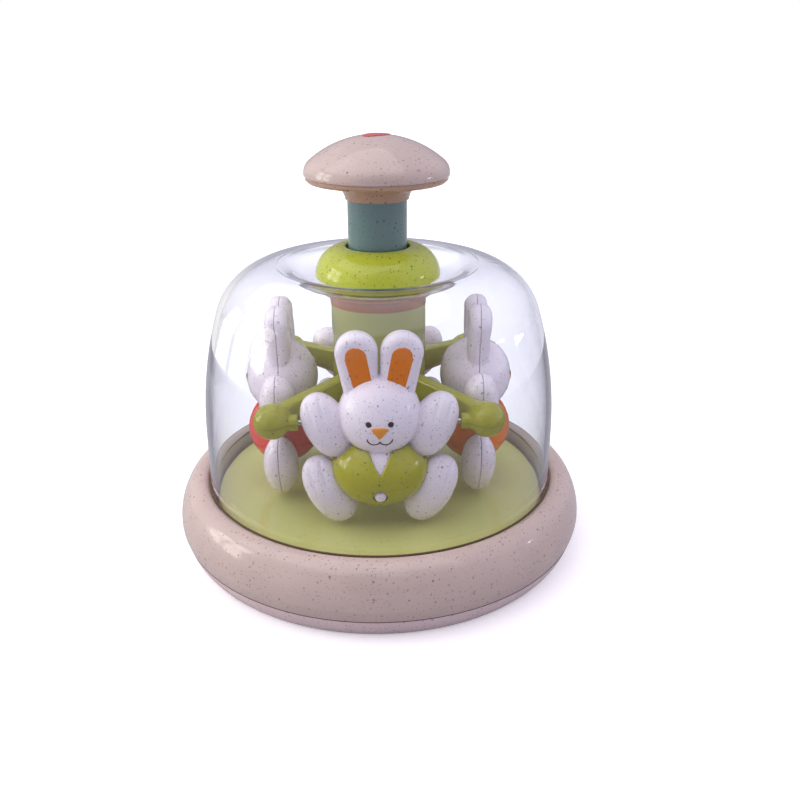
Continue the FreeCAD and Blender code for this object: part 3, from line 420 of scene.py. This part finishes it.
def clear_plastic(name):
    """Clear dome: tinted lilac, gently wavy, and open to lamps so that what is inside is lit."""
    s = new_shader(name)
    wave = s.bump(s.noise(per_metre=40, detail=1), distance=0.2, strength=0.5)
    edge_on = s.node("LayerWeight", {"Blend": 0.3}).outputs["Facing"]
    tint = s.mix(edge_on, DOME_TINT_FACING, DOME_TINT_EDGE_ON)
    glass = s.node("BsdfGlass", {"Color": tint, "Roughness": 0.0, "IOR": DOME_IOR, "Normal": wave}).outputs[0]
    open_air = s.node("BsdfTransparent", {"Color": (1, 1, 1, 1)}).outputs[0]
    path = s.node("LightPath").outputs
    lamp_light = s.math("MAXIMUM", path["Is Shadow Ray"], path["Is Diffuse Ray"])
    open_share = s.math("MAXIMUM", lamp_light, s.mirrored())
    return s.finish(s.node("MixShader", {0: open_share, 1: glass, 2: open_air}).outputs[0])


def metal(name, base):
    """Fine-grained bright metal."""
    s = new_shader(name)
    grain = s.noise(per_metre=900, detail=3)
    tone = s.mix(s.middle(grain), darker(base, 0.2), base)
    dull = s.middle(grain, 0.22, 0.38)
    scratches = s.bump(grain, distance=0.02, strength=0.3)
    inputs = {"Base Color": tone, "Metallic": 1.0, "Roughness": dull, "Normal": scratches}
    return s.finish(s.node("BsdfPrincipled", inputs).outputs[0])


def ink(name, base):
    """Flat print on plastic, also used for the seam beads as painted shade."""
    s = new_shader(name)
    tone = s.mix(s.middle(s.noise(per_metre=500)), darker(base, 0.15), base)
    dull = s.middle(s.noise(per_metre=900), 0.3, 0.45)
    inputs = {"Base Color": tone, "Roughness": dull, "Specular IOR Level": 0.25}
    return s.finish(s.node("BsdfPrincipled", inputs).outputs[0])


BEIGE = plastic("beige", colour(196, 175, 169), flecked=0.5, roughness=0.11)
# painted light: a lighter copy of the case beige for the base's lower shell, which faces the floor in shade
LIT_BASE_BEIGE = plastic("base_beige", colour(226, 202, 204), flecked=0.5)
WHITE = plastic("rabbit_white", colour(244, 234, 245), flecked=0.6, roughness=0.2, haze=0.03,
                fleck=FLECK_GREY)
SAGE = plastic("sage", colour(160, 164, 88), flecked=0.3, roughness=0.16, haze=0.02)
FLOOR_SAGE = plastic("floor_sage", colour(202, 203, 124), flecked=0.2, haze=0.02)
LIME = plastic("lime", colour(170, 166, 8), flecked=0.7)
COLLAR_LIME = plastic("collar_lime", colour(186, 196, 66), flecked=0.7)
OLIVE = plastic("olive", colour(162, 160, 34), flecked=0.5)
# painted shade: the knob plate is the beige of the case, darkened to brown for the shadow under the knob cap
SHADED_TAN = plastic("tan", colour(182, 146, 122), flecked=0.7)
TEAL = plastic("teal", colour(104, 132, 132), flecked=0.6)
ORANGE = plastic("orange", colour(232, 126, 14), flecked=0.45)
# painted shade: a darker, browner copy of the orange for the bearing ring and the collar nut, which sit in
# shadow under the collar
SHADED_RING_ORANGE = plastic("shaded_ring_orange", colour(156, 84, 0), flecked=0.45)
CORAL = plastic("coral", colour(230, 84, 70), flecked=0.45)
RED = plastic("badge_red", colour(206, 74, 66), flecked=0.0)
GREY = plastic("inner_grey", colour(168, 166, 160), flecked=0.2, roughness=0.35, fleck=FLECK_GREY)
CLEAR = clear_plastic("clear")
STEEL = metal("steel", (0.62, 0.61, 0.6, 1))
DARK_INK = ink("dark_ink", colour(46, 28, 24))
NOSE_INK = ink("nose_orange", colour(248, 158, 24))
# painted shade: the seam beads' dark colour stands for the shadow in the narrow gaps of the case
SEAM_SHADE = ink("seam_shadow", colour(96, 74, 66))
SLOT_LOOKS = {"base_beige": BEIGE, "sage": SAGE, "clear": CLEAR, "lime": LIME, "olive": OLIVE, "teal": TEAL,
              "orange": ORANGE, "coral": CORAL, "rabbit_white": WHITE, "badge_red": RED, "inner_grey": GREY,
              "steel": STEEL}
# collar_nut and knob_plate take darker copies as painted shade, base_bottom a lighter copy as painted light
NODE_LOOKS = {"collar": COLLAR_LIME, "collar_nut": SHADED_RING_ORANGE, "knob_plate": SHADED_TAN, "base_bottom": LIT_BASE_BEIGE,
              "floor_plate": FLOOR_SAGE}
VEST_LOOKS = {"front": ("lime", LIME), "right": ("orange", ORANGE), "back": ("teal", TEAL),
              "left": ("coral", CORAL)}


def dress_cad_nodes():
    """Every CAD node takes the look of its record slot, or a colour of its own; for the collar nut, knob
    plate and base bottom that colour is painted shade or light.
    """
    for part in frame["record"]["subparts"]:
        thing = frame["nodes"][part["node"]]
        thing.data.materials.clear()
        thing.data.materials.append(NODE_LOOKS.get(part["node"], SLOT_LOOKS[part["material_slot"]]))


# ------------------------------------------------------------------ painted shade: dark beads in the gaps between the shells of the case

BASE_SEAM_RADIUS, BASE_SEAM_HEIGHT, BASE_SEAM_HALF = 83.65, 8.5, 0.2
DOME_GAP_RADIUS, DOME_GAP_HEIGHT, DOME_GAP_HALF = 72.3, 28.7, 0.45
SEAM_SIDES = 8


def make_seam(name, radius, height, half_width):
    """A thin dark bead where two pieces of the case meet: painted shade for the shadow in the gap."""
    outline = circle(radius, height, half_width, SEAM_SIDES)
    dress(lathe(name, outline), SEAM_SHADE, "steel", "base")


# ------------------------------------------------------------------ the rabbit's shapes, facing -Y

HEAD_MIDDLE, HEAD_HALVES = (0, 0, 71), (15.5, 14.6, 15.5)
TORSO_MIDDLE, TORSO_HALVES = (0, 0, 48.6), (17.2, 13.8, 13.4)
PAW_MIDDLE, PAW_HALVES, PAW_LEAN = (19.9, 0, 66.4), (8.3, 7.2, 13.5), 25
LEG_MIDDLE, LEG_HALVES, LEG_LEAN = (19.5, 0, 39.5), (8.5, 7, 14.8), 27
LIMB_FULLNESS = 2.15
TOE_GAP, TOE_WIDTH, TOE_DEPTH = 2.3, 0.75, 0.5
TOE_START, TOE_GROWN, TOE_FADED, TOE_STOP = 0.2, 0.45, 0.83, 0.93
TOE_SLANT, TOE_SLANT_CENTRE, TOE_FRONT = 0.12, 0.6, 1.5
EAR_TIP, EAR_TIP_RADIUS = (8.3, 95.2), 7.9
EAR_ROOT, EAR_ROOT_RADIUS = (6.4, 78), 6.3
EAR_HALF_THICK, EAR_EDGE = 4.4, 3.6
EAR_FILLET, JOIN_FILLET = 0.5, 0.6
LINING = [(9.0, 81), (12.3, 93.6), (12.1, 95.8), (11.1, 97.5), (9.3, 98.3), (7.1, 98.1), (5.4, 97.1),
          (4.6, 95.7), (2.5, 84.5)]
LINING_PROUD, LINING_SUNK, LINING_BACK, LINING_ROUND = 0.12, 1, -2, 0.25
LINING_HEAD_GAP, LINING_HEAD_EDGE = 0.1, 0.2
VEST_THICK, VEST_SUNK, VEST_HEM = 1.3, 0.6, 35.6
VEST_HEAD_GAP, VEST_PAW_GAP, VEST_LEG_GAP = 0.15, 0.9, 0.1
VEST_FIRM_EDGE, VEST_SOFT_EDGE, POCKET_EDGE = 0.3, 0.5, 0.35
NECKLINE = [(-9, 68), (9, 68), (0.35, 52), (-0.35, 52)]
BUTTON_HEIGHT, BUTTON_RADIUS, BUTTON_POCKET = 42.8, 2.2, 2.75


def sided(points):
    """Both sides of the rabbit are one shape seen at +x."""
    return np.abs(points) * (1, 0, 0) + points * (0, 1, 1)


def limb(points, middle, halves, lean):
    """A paw or foot with two toe grooves at the outer end of its front."""
    local = turned(points, middle, lean)
    across, front, along = local.T
    end = halves[2]
    begun = np.clip((along - TOE_START * end) / ((TOE_GROWN - TOE_START) * end), 0, 1)
    ended = np.clip((TOE_STOP * end - along) / ((TOE_STOP - TOE_FADED) * end), 0, 1)
    faced = np.clip(-front / TOE_FRONT, 0, 1)
    slanted = across + TOE_SLANT * (along - TOE_SLANT_CENTRE * end)
    toes = sum(np.exp(-((slanted + side * TOE_GAP) / TOE_WIDTH) ** 2) for side in (-1, 1))
    return egg(local, halves, LIMB_FULLNESS) + TOE_DEPTH * toes * begun * ended * faced


def paw(points):
    return limb(points, PAW_MIDDLE, PAW_HALVES, PAW_LEAN)


def leg(points):
    return limb(points, LEG_MIDDLE, LEG_HALVES, LEG_LEAN)


def head(points):
    return egg(points - np.array(HEAD_MIDDLE), HEAD_HALVES)


def torso(points):
    return egg(points - np.array(TORSO_MIDDLE), TORSO_HALVES)


def ear(points):
    flat = tapered(points[:, [0, 2]], EAR_TIP, EAR_TIP_RADIUS, EAR_ROOT, EAR_ROOT_RADIUS)
    return slab(flat, points[:, 1], EAR_HALF_THICK, EAR_EDGE)


def rabbit(points):
    points = sided(points)
    body = merged(head(points), ear(points), EAR_FILLET)
    for part in (torso, paw, leg):
        body = merged(body, part(points), JOIN_FILLET)
    return body


def vest(points):
    """A skin over the torso, cut back round the head, paws, legs, neckline, hem and button."""
    points = sided(points)
    body = torso(points)
    shell = np.maximum(body - VEST_THICK, -body - VEST_SUNK)
    neckline = np.maximum(polygon(points[:, [0, 2]], NECKLINE), points[:, 1])
    pocket = np.hypot(points[:, 0], points[:, 2] - BUTTON_HEIGHT) - BUTTON_POCKET
    shell = carved(shell, head(points) - VEST_HEAD_GAP, VEST_FIRM_EDGE)
    shell = carved(shell, paw(points) - VEST_PAW_GAP, VEST_SOFT_EDGE)
    shell = carved(shell, leg(points) - VEST_LEG_GAP, VEST_FIRM_EDGE)
    shell = carved(shell, neckline, VEST_SOFT_EDGE)
    shell = carved(shell, points[:, 2] - VEST_HEM, VEST_SOFT_EDGE)
    return carved(shell, np.maximum(pocket, points[:, 1]), POCKET_EDGE)


def lining(points):
    """The inlay in the front of an ear."""
    points = sided(points)
    inlay = np.maximum(ear(points) - LINING_PROUD, -ear(points) - LINING_SUNK)
    inlay = np.maximum(inlay, points[:, 1] - LINING_BACK)
    inlay = carved(inlay, head(points) - LINING_HEAD_GAP, LINING_HEAD_EDGE)
    return carved(inlay, -polygon(points[:, [0, 2]], LINING), LINING_ROUND)


# ------------------------------------------------------------------ the rabbit's face and button

EYE_X, EYE_Z, EYE_RADIUS = 4.0, 72.6, 1.08
NOSE_CORNERS, NOSE_ROUND = [(-3.5, 71.0), (0, 66.4), (3.5, 71.0), (0, 71.7)], 1.3
MOUTH_WIDTH, MOUTH_END_Z, MOUTH_LOW_Z, MOUTH_MIDDLE_Z = 9.2, 66.6, 64.1, 65.9
MOUTH_STEPS = 14
LINE_WIDTH, LINE_LIFT, LINE_SUNK = 0.6, 0.1, 0.1
PAD_PROFILE = [(1.0, -0.15), (1.0, 0.1), (0.93, 0.24), (0.75, 0.36), (0.45, 0.44), (0.12, 0.47), (0.0, 0.47)]
EYE_PROFILE = [(1.0, -0.15), (0.98, 0.08), (0.85, 0.2), (0.6, 0.3), (0.3, 0.36), (0.0, 0.37)]
BUTTON_RINGS = [(1.0, 11.6), (1.0, 13.0), (0.94, 13.35), (0.8, 13.65), (0.55, 13.95), (0.28, 14.1),
                (0.01, 14.15)]


def on_face(x, z, lift):
    """The point of the head's front at x, z, lifted outwards."""
    away = np.array([x, 0, z]) - np.array(HEAD_MIDDLE)
    share = away / np.array(HEAD_HALVES)
    away[1] = -HEAD_HALVES[1] * sqrt(1 - share @ share)
    normal = away / np.array(HEAD_HALVES) ** 2
    return np.array(HEAD_MIDDLE) + away + lift * normal / np.linalg.norm(normal)


def pad(outline, profile):
    """A low pad on the face: outline is (x, z) points, profile is (scale, lift) rings from rim to middle."""
    outline = np.array(outline, float)
    middle = outline.mean(axis=0)
    points = []
    for scale, lift in profile:
        points += [on_face(*(middle + scale * (spot - middle)), lift) for spot in outline]
    return points, ring_faces(len(outline), len(profile))


def ribbon(path):
    """A low bead along a path of (x, z) points on the face, narrowed at its ends."""
    path = np.array(path, float)
    along = np.gradient(path, axis=0)
    along /= np.linalg.norm(along, axis=1, keepdims=True)
    across = np.stack([-along[:, 1], along[:, 0]], axis=1)
    shoulder = 0.7 * LINE_LIFT
    section = [(-0.5, -LINE_SUNK), (-0.42, shoulder), (0, LINE_LIFT), (0.42, shoulder), (0.5, -LINE_SUNK)]
    steps = np.arange(len(path))
    taper = np.minimum(1, np.minimum(steps, steps[::-1]) / 2 + 0.35)
    points = []
    for spot, side, narrow in zip(path, across, taper):
        points += [on_face(*(spot + share * LINE_WIDTH * narrow * side), height) for share, height in section]
    count = len(section)
    faces = []
    for i in range(len(path) - 1):
        for j in range(count - 1):
            faces.append((i * count + j, (i + 1) * count + j, (i + 1) * count + j + 1, i * count + j + 1))
    return points, faces


def mouth():
    """A line shaped like a w: two bowls side by side, each higher at the corner of the mouth."""
    reach = MOUTH_WIDTH / 4
    bowls = []
    for side in (-1, 1):
        bowl = []
        for i in range(MOUTH_STEPS + 1):
            turn = pi + pi * i / MOUTH_STEPS
            side_z = MOUTH_END_Z if (cos(turn) > 0) == (side > 0) else MOUTH_MIDDLE_Z
            bowl.append((side * reach + reach * cos(turn), side_z + (side_z - MOUTH_LOW_Z) * sin(turn)))
        bowls.append(bowl)
    return bowls


def button():
    """A domed belly button in its pocket: rings of (share of the radius, how far forward)."""
    points = []
    for share, forward in BUTTON_RINGS:
        ring = circle(0, BUTTON_HEIGHT, share * BUTTON_RADIUS)
        points += [(x, -forward, z) for x, z in ring]
    return points, ring_faces(len(ring), len(BUTTON_RINGS))


# ------------------------------------------------------------------ building the rabbits

# each net's lowest and highest corner and its step
RABBIT_NET = (-30, -16, 24), (30, 16, 106), 0.45
VEST_NET = (-20, -16, 30), (20, 16, 66), 0.36
LINING_NET = (-14, -7, 81), (14, -1, 101), 0.27


def mesh_of(name, points, faces):
    """Only the mesh of a new object."""
    thing = make_object(name, points, faces)
    mesh = thing.data
    bpy.data.objects.remove(thing)
    return mesh


def rabbit_meshes():
    """Everything all four rabbits share, by name."""
    body = make_object("rabbit_mould", *surface_net(rabbit, *RABBIT_NET))
    jacket = make_object("vest_mould", *surface_net(vest, *VEST_NET))
    eyes = [pad(circle(side * EYE_X, EYE_Z, EYE_RADIUS), EYE_PROFILE) for side in (-1, 1)]
    lines = [ribbon(bowl) for bowl in mouth()]
    made = {
        "front": half("rabbit_front", body, -1),
        "back": half("rabbit_back", body, 1),
        "vest_front": half("vest_front", jacket, -1),
        "vest_back": half("vest_back", jacket, 1),
        "ear_inlays": mesh_of("inlays", *surface_net(lining, *LINING_NET)),
        "print": mesh_of("print", *gathered(eyes + lines)),
        "nose": mesh_of("nose", *pad(rounded(NOSE_CORNERS, NOSE_ROUND), PAD_PROFILE)),
        "button": mesh_of("button", *button()),
    }
    bpy.data.objects.remove(body)
    bpy.data.objects.remove(jacket)
    return made


def make_rabbits():
    meshes = rabbit_meshes()
    for name, angle in RABBITS.items():
        place = Matrix.Rotation(radians(angle), 4, "Z") @ Matrix.Translation((0, -REACH * MM, 0))
        label = f"{name}_rabbit"
        vest_slot, vest_look = VEST_LOOKS[name]
        looks = {
            "front": (WHITE, "rabbit_white", "shell_front"),
            "back": (WHITE, "rabbit_white", "shell_back"),
            "vest_front": (vest_look, vest_slot, "vest_front"),
            "vest_back": (vest_look, vest_slot, "vest_back"),
            "ear_inlays": (ORANGE, "orange", "ear_linings"),
            "print": (DARK_INK, "steel", None),
            "nose": (NOSE_INK, "orange", None),
            "button": (WHITE, "rabbit_white", "button"),
        }
        for part, (look, slot, node) in looks.items():
            thing = link(bpy.data.objects.new(f"{label}_{part}_piece", meshes[part].copy()))
            thing.matrix_world = place
            stands_for = [f"{label}_{node}"] if node else []
            dress(thing, look, slot, label, *stands_for)


# ------------------------------------------------------------------ the carousel's arms and rings

ARM_FLANK = [(17, 65.4), (17, 76.4), (21, 76.2), (50, 73.4), (57, 72), (57, 66.4), (50, 65.2)]
ARM_HALF_THICK, ARM_EDGE = 2.7, 1.0
ARM_NET = (10, 10, 60), (49, 49, 79), 0.42
BALL_AT, BALL_HEIGHT, BALL_RADIUS, BALL_FILLET = 40, 68, 6.8, 2.2
BOSS_RADIUS, BOSS_END, BOSS_EDGE, BOSS_FILLET, BALL_SEAM = 3.1, 30.3, 0.5, 0.8, 67.5
SLEEVE_RADIUS, SLEEVE_BORE, SLEEVE_FOOT, SLEEVE_TOP, SLEEVE_ROUND = 18.95, 17.65, 62, 77.5, 0.6
RING_RADIUS, RING_BORE, RING_FOOT, RING_TOP, RING_STEP, RING_EDGE = 18.9, 13.5, 103.4, 107.6, 2.4, 0.3


def arm(points):
    """One arm towards +x +y with its ball and the two bosses that hold pins."""
    along = (points[:, 0] + points[:, 1]) / sqrt(2)
    across = (points[:, 1] - points[:, 0]) / sqrt(2)
    web = slab(polygon(np.stack([along, points[:, 2]], 1), ARM_FLANK), across, ARM_HALF_THICK, ARM_EDGE)
    ball = np.linalg.norm(points - (BALL_AT, BALL_AT, BALL_HEIGHT), axis=1) - BALL_RADIUS
    body = merged(web, ball, BALL_FILLET)
    boss_middle, boss_half = (BALL_AT + BOSS_END) / 2, (BALL_AT - BOSS_END) / 2
    for side in (0, 1):
        across_pin = np.hypot(points[:, 1 - side] - BALL_AT, points[:, 2] - BALL_SEAM)
        boss = slab(across_pin - BOSS_RADIUS, points[:, side] - boss_middle, boss_half, BOSS_EDGE)
        body = merged(body, boss, BOSS_FILLET)
    return body


def in_four(mesh):
    """A mesh repeated every quarter turn round Z, as points in millimetres and faces."""
    points = np.array([tuple(vert.co) for vert in mesh.vertices]) / MM
    faces = [tuple(face.vertices) for face in mesh.polygons]
    turns = []
    for quarter in range(4):
        c, s = cos(quarter * pi / 2), sin(quarter * pi / 2)
        x, y = points[:, 0], points[:, 1]
        turns.append((np.stack([c * x - s * y, s * x + c * y, points[:, 2]], 1), faces))
    return gathered(turns)


def make_arms():
    """The arms with the upper halves of the balls, their lower halves, and the sleeve round the column."""
    mould = make_object("arm_mould", *surface_net(arm, *ARM_NET))
    for side, label, node in ((1, "arms", "arm_spider"), (-1, "ball_caps", "pin_caps")):
        thing = make_object(f"{label}_piece", *in_four(half(label, mould, side, 2, BALL_SEAM)))
        dress(thing, OLIVE, "olive", "carousel", node)
    bpy.data.objects.remove(mould)
    r = SLEEVE_ROUND
    sleeve = lathe("sleeve_piece", [(SLEEVE_BORE, SLEEVE_FOOT), (SLEEVE_RADIUS, SLEEVE_FOOT),
                                    (SLEEVE_RADIUS, SLEEVE_TOP - r),
                                    (SLEEVE_RADIUS - 0.3 * r, SLEEVE_TOP - 0.3 * r),
                                    (SLEEVE_RADIUS - r, SLEEVE_TOP), (SLEEVE_BORE, SLEEVE_TOP)])
    dress(sleeve, OLIVE, "olive", "carousel")


def make_column_ring():
    """The orange bearing ring, a little prouder than the column it crowns, its orange darkened as painted
    shade.
    """
    inset = RING_RADIUS - RING_EDGE
    ring = lathe("column_ring_piece", [(RING_BORE, RING_FOOT + RING_STEP), (inset, RING_FOOT + RING_STEP),
                                       (inset, RING_FOOT), (RING_RADIUS, RING_FOOT + RING_EDGE),
                                       (RING_RADIUS, RING_TOP - RING_EDGE), (inset, RING_TOP),
                                       (RING_BORE, RING_TOP)])
    dress(ring, SHADED_RING_ORANGE, "orange", "carousel", "column_ring")


# ------------------------------------------------------------------ the spring

def make_spring():
    """The coil, a copy of the CAD spring with a mesh of its own; the real coil shortens under the knob by the
    knob's travel.
    """
    coil = link(bpy.data.objects.new("spring_coil", frame["nodes"]["return_spring"].data.copy()))
    dress(coil, STEEL, "steel", "base", "return_spring")
    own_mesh(coil)


# ------------------------------------------------------------------ stage, light, camera, all in metres

FLOOR_HALF, FLOOR_DROP = 3, 0.3 * MM
PAPER_WHITE = (0.88, 0.87, 0.9, 1), (0.92, 0.91, 0.93, 1)
PAPER_GREY = (0.5, 0.49, 0.53, 1), (0.53, 0.52, 0.56, 1)
PAPER_MIRRORED = (0.16, 0.16, 0.18, 1)
PAPER_IN_MIRRORS = 0.4
GLOW_TINT = (0.98, 0.95, 1.0, 1)
GLOW_NEAR, GLOW_NEAR_STRENGTH = 0.12, 0.34
GLOW_FAR, GLOW_FAR_STRENGTH = 0.9, 0.72
WORLD_BASE, WORLD_ABOVE, WORLD_LEFT, WORLD_RIGHT, WORLD_BEHIND = 0.15, 0.5, 0.95, 0.8, 0.2
WORLD_COOL, WORLD_WARM = (0.88, 0.86, 1.0, 1), (1.0, 0.96, 0.9, 1)
AIM = (0, 0, 0.06)
CAMERA_PLACE, CAMERA_LENS, CAMERA_SENSOR = (0, -0.3485, 0.2074), 40.5, 36
CAMERA_SHIFT, CAMERA_DOWN, CAMERA_TURN = (-0.005, -0.011), 22.5, -1.7


def floor_paper():
    """White paper: for the eye, and partly in mirror images, it is brighter than it lights the toy."""
    s = new_shader("floor_paper")
    grain = s.middle(s.noise(per_metre=400, detail=3))
    away = s.node("VectorMath", {0: s.place()}, operation="LENGTH").outputs["Value"]
    strength = s.between(away, GLOW_NEAR, GLOW_FAR, GLOW_NEAR_STRENGTH, GLOW_FAR_STRENGTH)
    glow = s.node("Emission", {"Color": GLOW_TINT, "Strength": strength}).outputs[0]
    bright = s.node("BsdfDiffuse", {"Color": s.mix(grain, *PAPER_WHITE)}).outputs[0]
    seen = s.node("AddShader", {0: bright, 1: glow}).outputs[0]
    grey = s.mix(s.mirrored(), s.mix(grain, *PAPER_GREY), PAPER_MIRRORED)
    unseen = s.node("BsdfDiffuse", {"Color": grey}).outputs[0]
    outside_dome = s.math("LESS_THAN", s.node("LightPath").outputs["Transmission Depth"], 0.5)
    mirror_share = s.math("MULTIPLY", s.math("MULTIPLY", s.mirrored(), outside_dome), PAPER_IN_MIRRORS)
    eye = s.math("MAXIMUM", s.looked_at(), mirror_share)
    return s.finish(s.node("MixShader", {0: eye, 1: unseen, 2: seen}).outputs[0])


def make_floor():
    """Paper a hair below the toy, so that the two don't share a plane."""
    mesh = bpy.data.meshes.new("floor")
    corners = [(-1, -1), (1, -1), (1, 1), (-1, 1)]
    mesh.from_pydata([(x * FLOOR_HALF, y * FLOOR_HALF, 0) for x, y in corners], [], [(0, 1, 2, 3)])
    mesh.materials.append(floor_paper())
    floor = link(bpy.data.objects.new("floor", mesh))
    floor.location = (0, 0, -FLOOR_DROP)


def make_world():
    """White for the eye; a room with light above, at both sides and behind, dark towards the camera."""
    world = bpy.data.worlds.new("room")
    SCENE.world = world
    s = Shader(world)
    ray = s.node("SeparateXYZ", {0: s.node("TexCoord").outputs["Generated"]})
    above = s.between(ray.outputs["Z"], 0.0, 1.0)
    left = s.between(s.math("MULTIPLY", ray.outputs["X"], -1.0), 0.1, 1.0)
    right = s.between(ray.outputs["X"], 0.2, 1.0)
    behind = s.between(ray.outputs["Y"], 0.1, 1.0)
    sides = ((above, WORLD_ABOVE), (left, WORLD_LEFT), (right, WORLD_RIGHT), (behind, WORLD_BEHIND))
    light = WORLD_BASE
    for share, strength in sides:
        light = s.math("ADD", light, s.math("MULTIPLY", share, strength))
    tint = s.mix(left, WORLD_COOL, WORLD_WARM)
    room = s.node("Background", {"Color": tint, "Strength": light}).outputs[0]
    white = s.node("Background", {"Color": (1, 1, 1, 1), "Strength": 1.0}).outputs[0]
    s.finish(s.node("MixShader", {0: s.looked_at(), 1: room, 2: white}).outputs[0], "OutputWorld")


def lamp(name, place, width, height, watts, tint):
    """A rectangular lamp that faces the toy."""
    data = bpy.data.lights.new(name, "AREA")
    data.shape, data.size, data.size_y = "RECTANGLE", width, height
    data.energy, data.color = watts, tint
    thing = link(bpy.data.objects.new(name, data))
    thing.location = place
    thing.rotation_euler = (Vector(AIM) - Vector(place)).to_track_quat("-Z", "Y").to_euler()


def make_light():
    """A panel overhead, a window with four panes at the left and a small lamp at the right."""
    lamp("sky_panel", place=(-0.2, -0.1, 1.0), width=1.3, height=1.3, watts=5.2, tint=(1, 0.98, 0.99))
    for column in (0, 1):
        for row in (0, 1):
            pane = (-1.0, -0.12 + 0.27 * column, 0.2 + 0.3 * row)
            name = f"window_{column}_{row}"
            lamp(name, place=pane, width=0.22, height=0.26, watts=0.75, tint=(1, 0.97, 0.9))
    lamp("right_lamp", place=(1.0, -0.05, 0.22), width=0.13, height=0.05, watts=0.3, tint=(1, 0.98, 0.96))


def make_camera():
    data = bpy.data.cameras.new("camera")
    data.lens, data.sensor_width = CAMERA_LENS, CAMERA_SENSOR
    data.shift_x, data.shift_y = CAMERA_SHIFT
    data.clip_start = 0.01
    thing = link(bpy.data.objects.new("camera", data))
    thing.location = CAMERA_PLACE
    thing.rotation_euler = (radians(90 - CAMERA_DOWN), 0, radians(CAMERA_TURN))
    SCENE.camera = thing


dress_cad_nodes()
make_seam("base_seam_piece", BASE_SEAM_RADIUS, BASE_SEAM_HEIGHT, BASE_SEAM_HALF)
make_seam("dome_seam_piece", DOME_GAP_RADIUS, DOME_GAP_HEIGHT, DOME_GAP_HALF)
make_rabbits()
make_arms()
make_column_ring()
make_spring()
make_floor()
make_world()
make_light()
make_camera()
SCENE.view_settings.view_transform = "Standard"
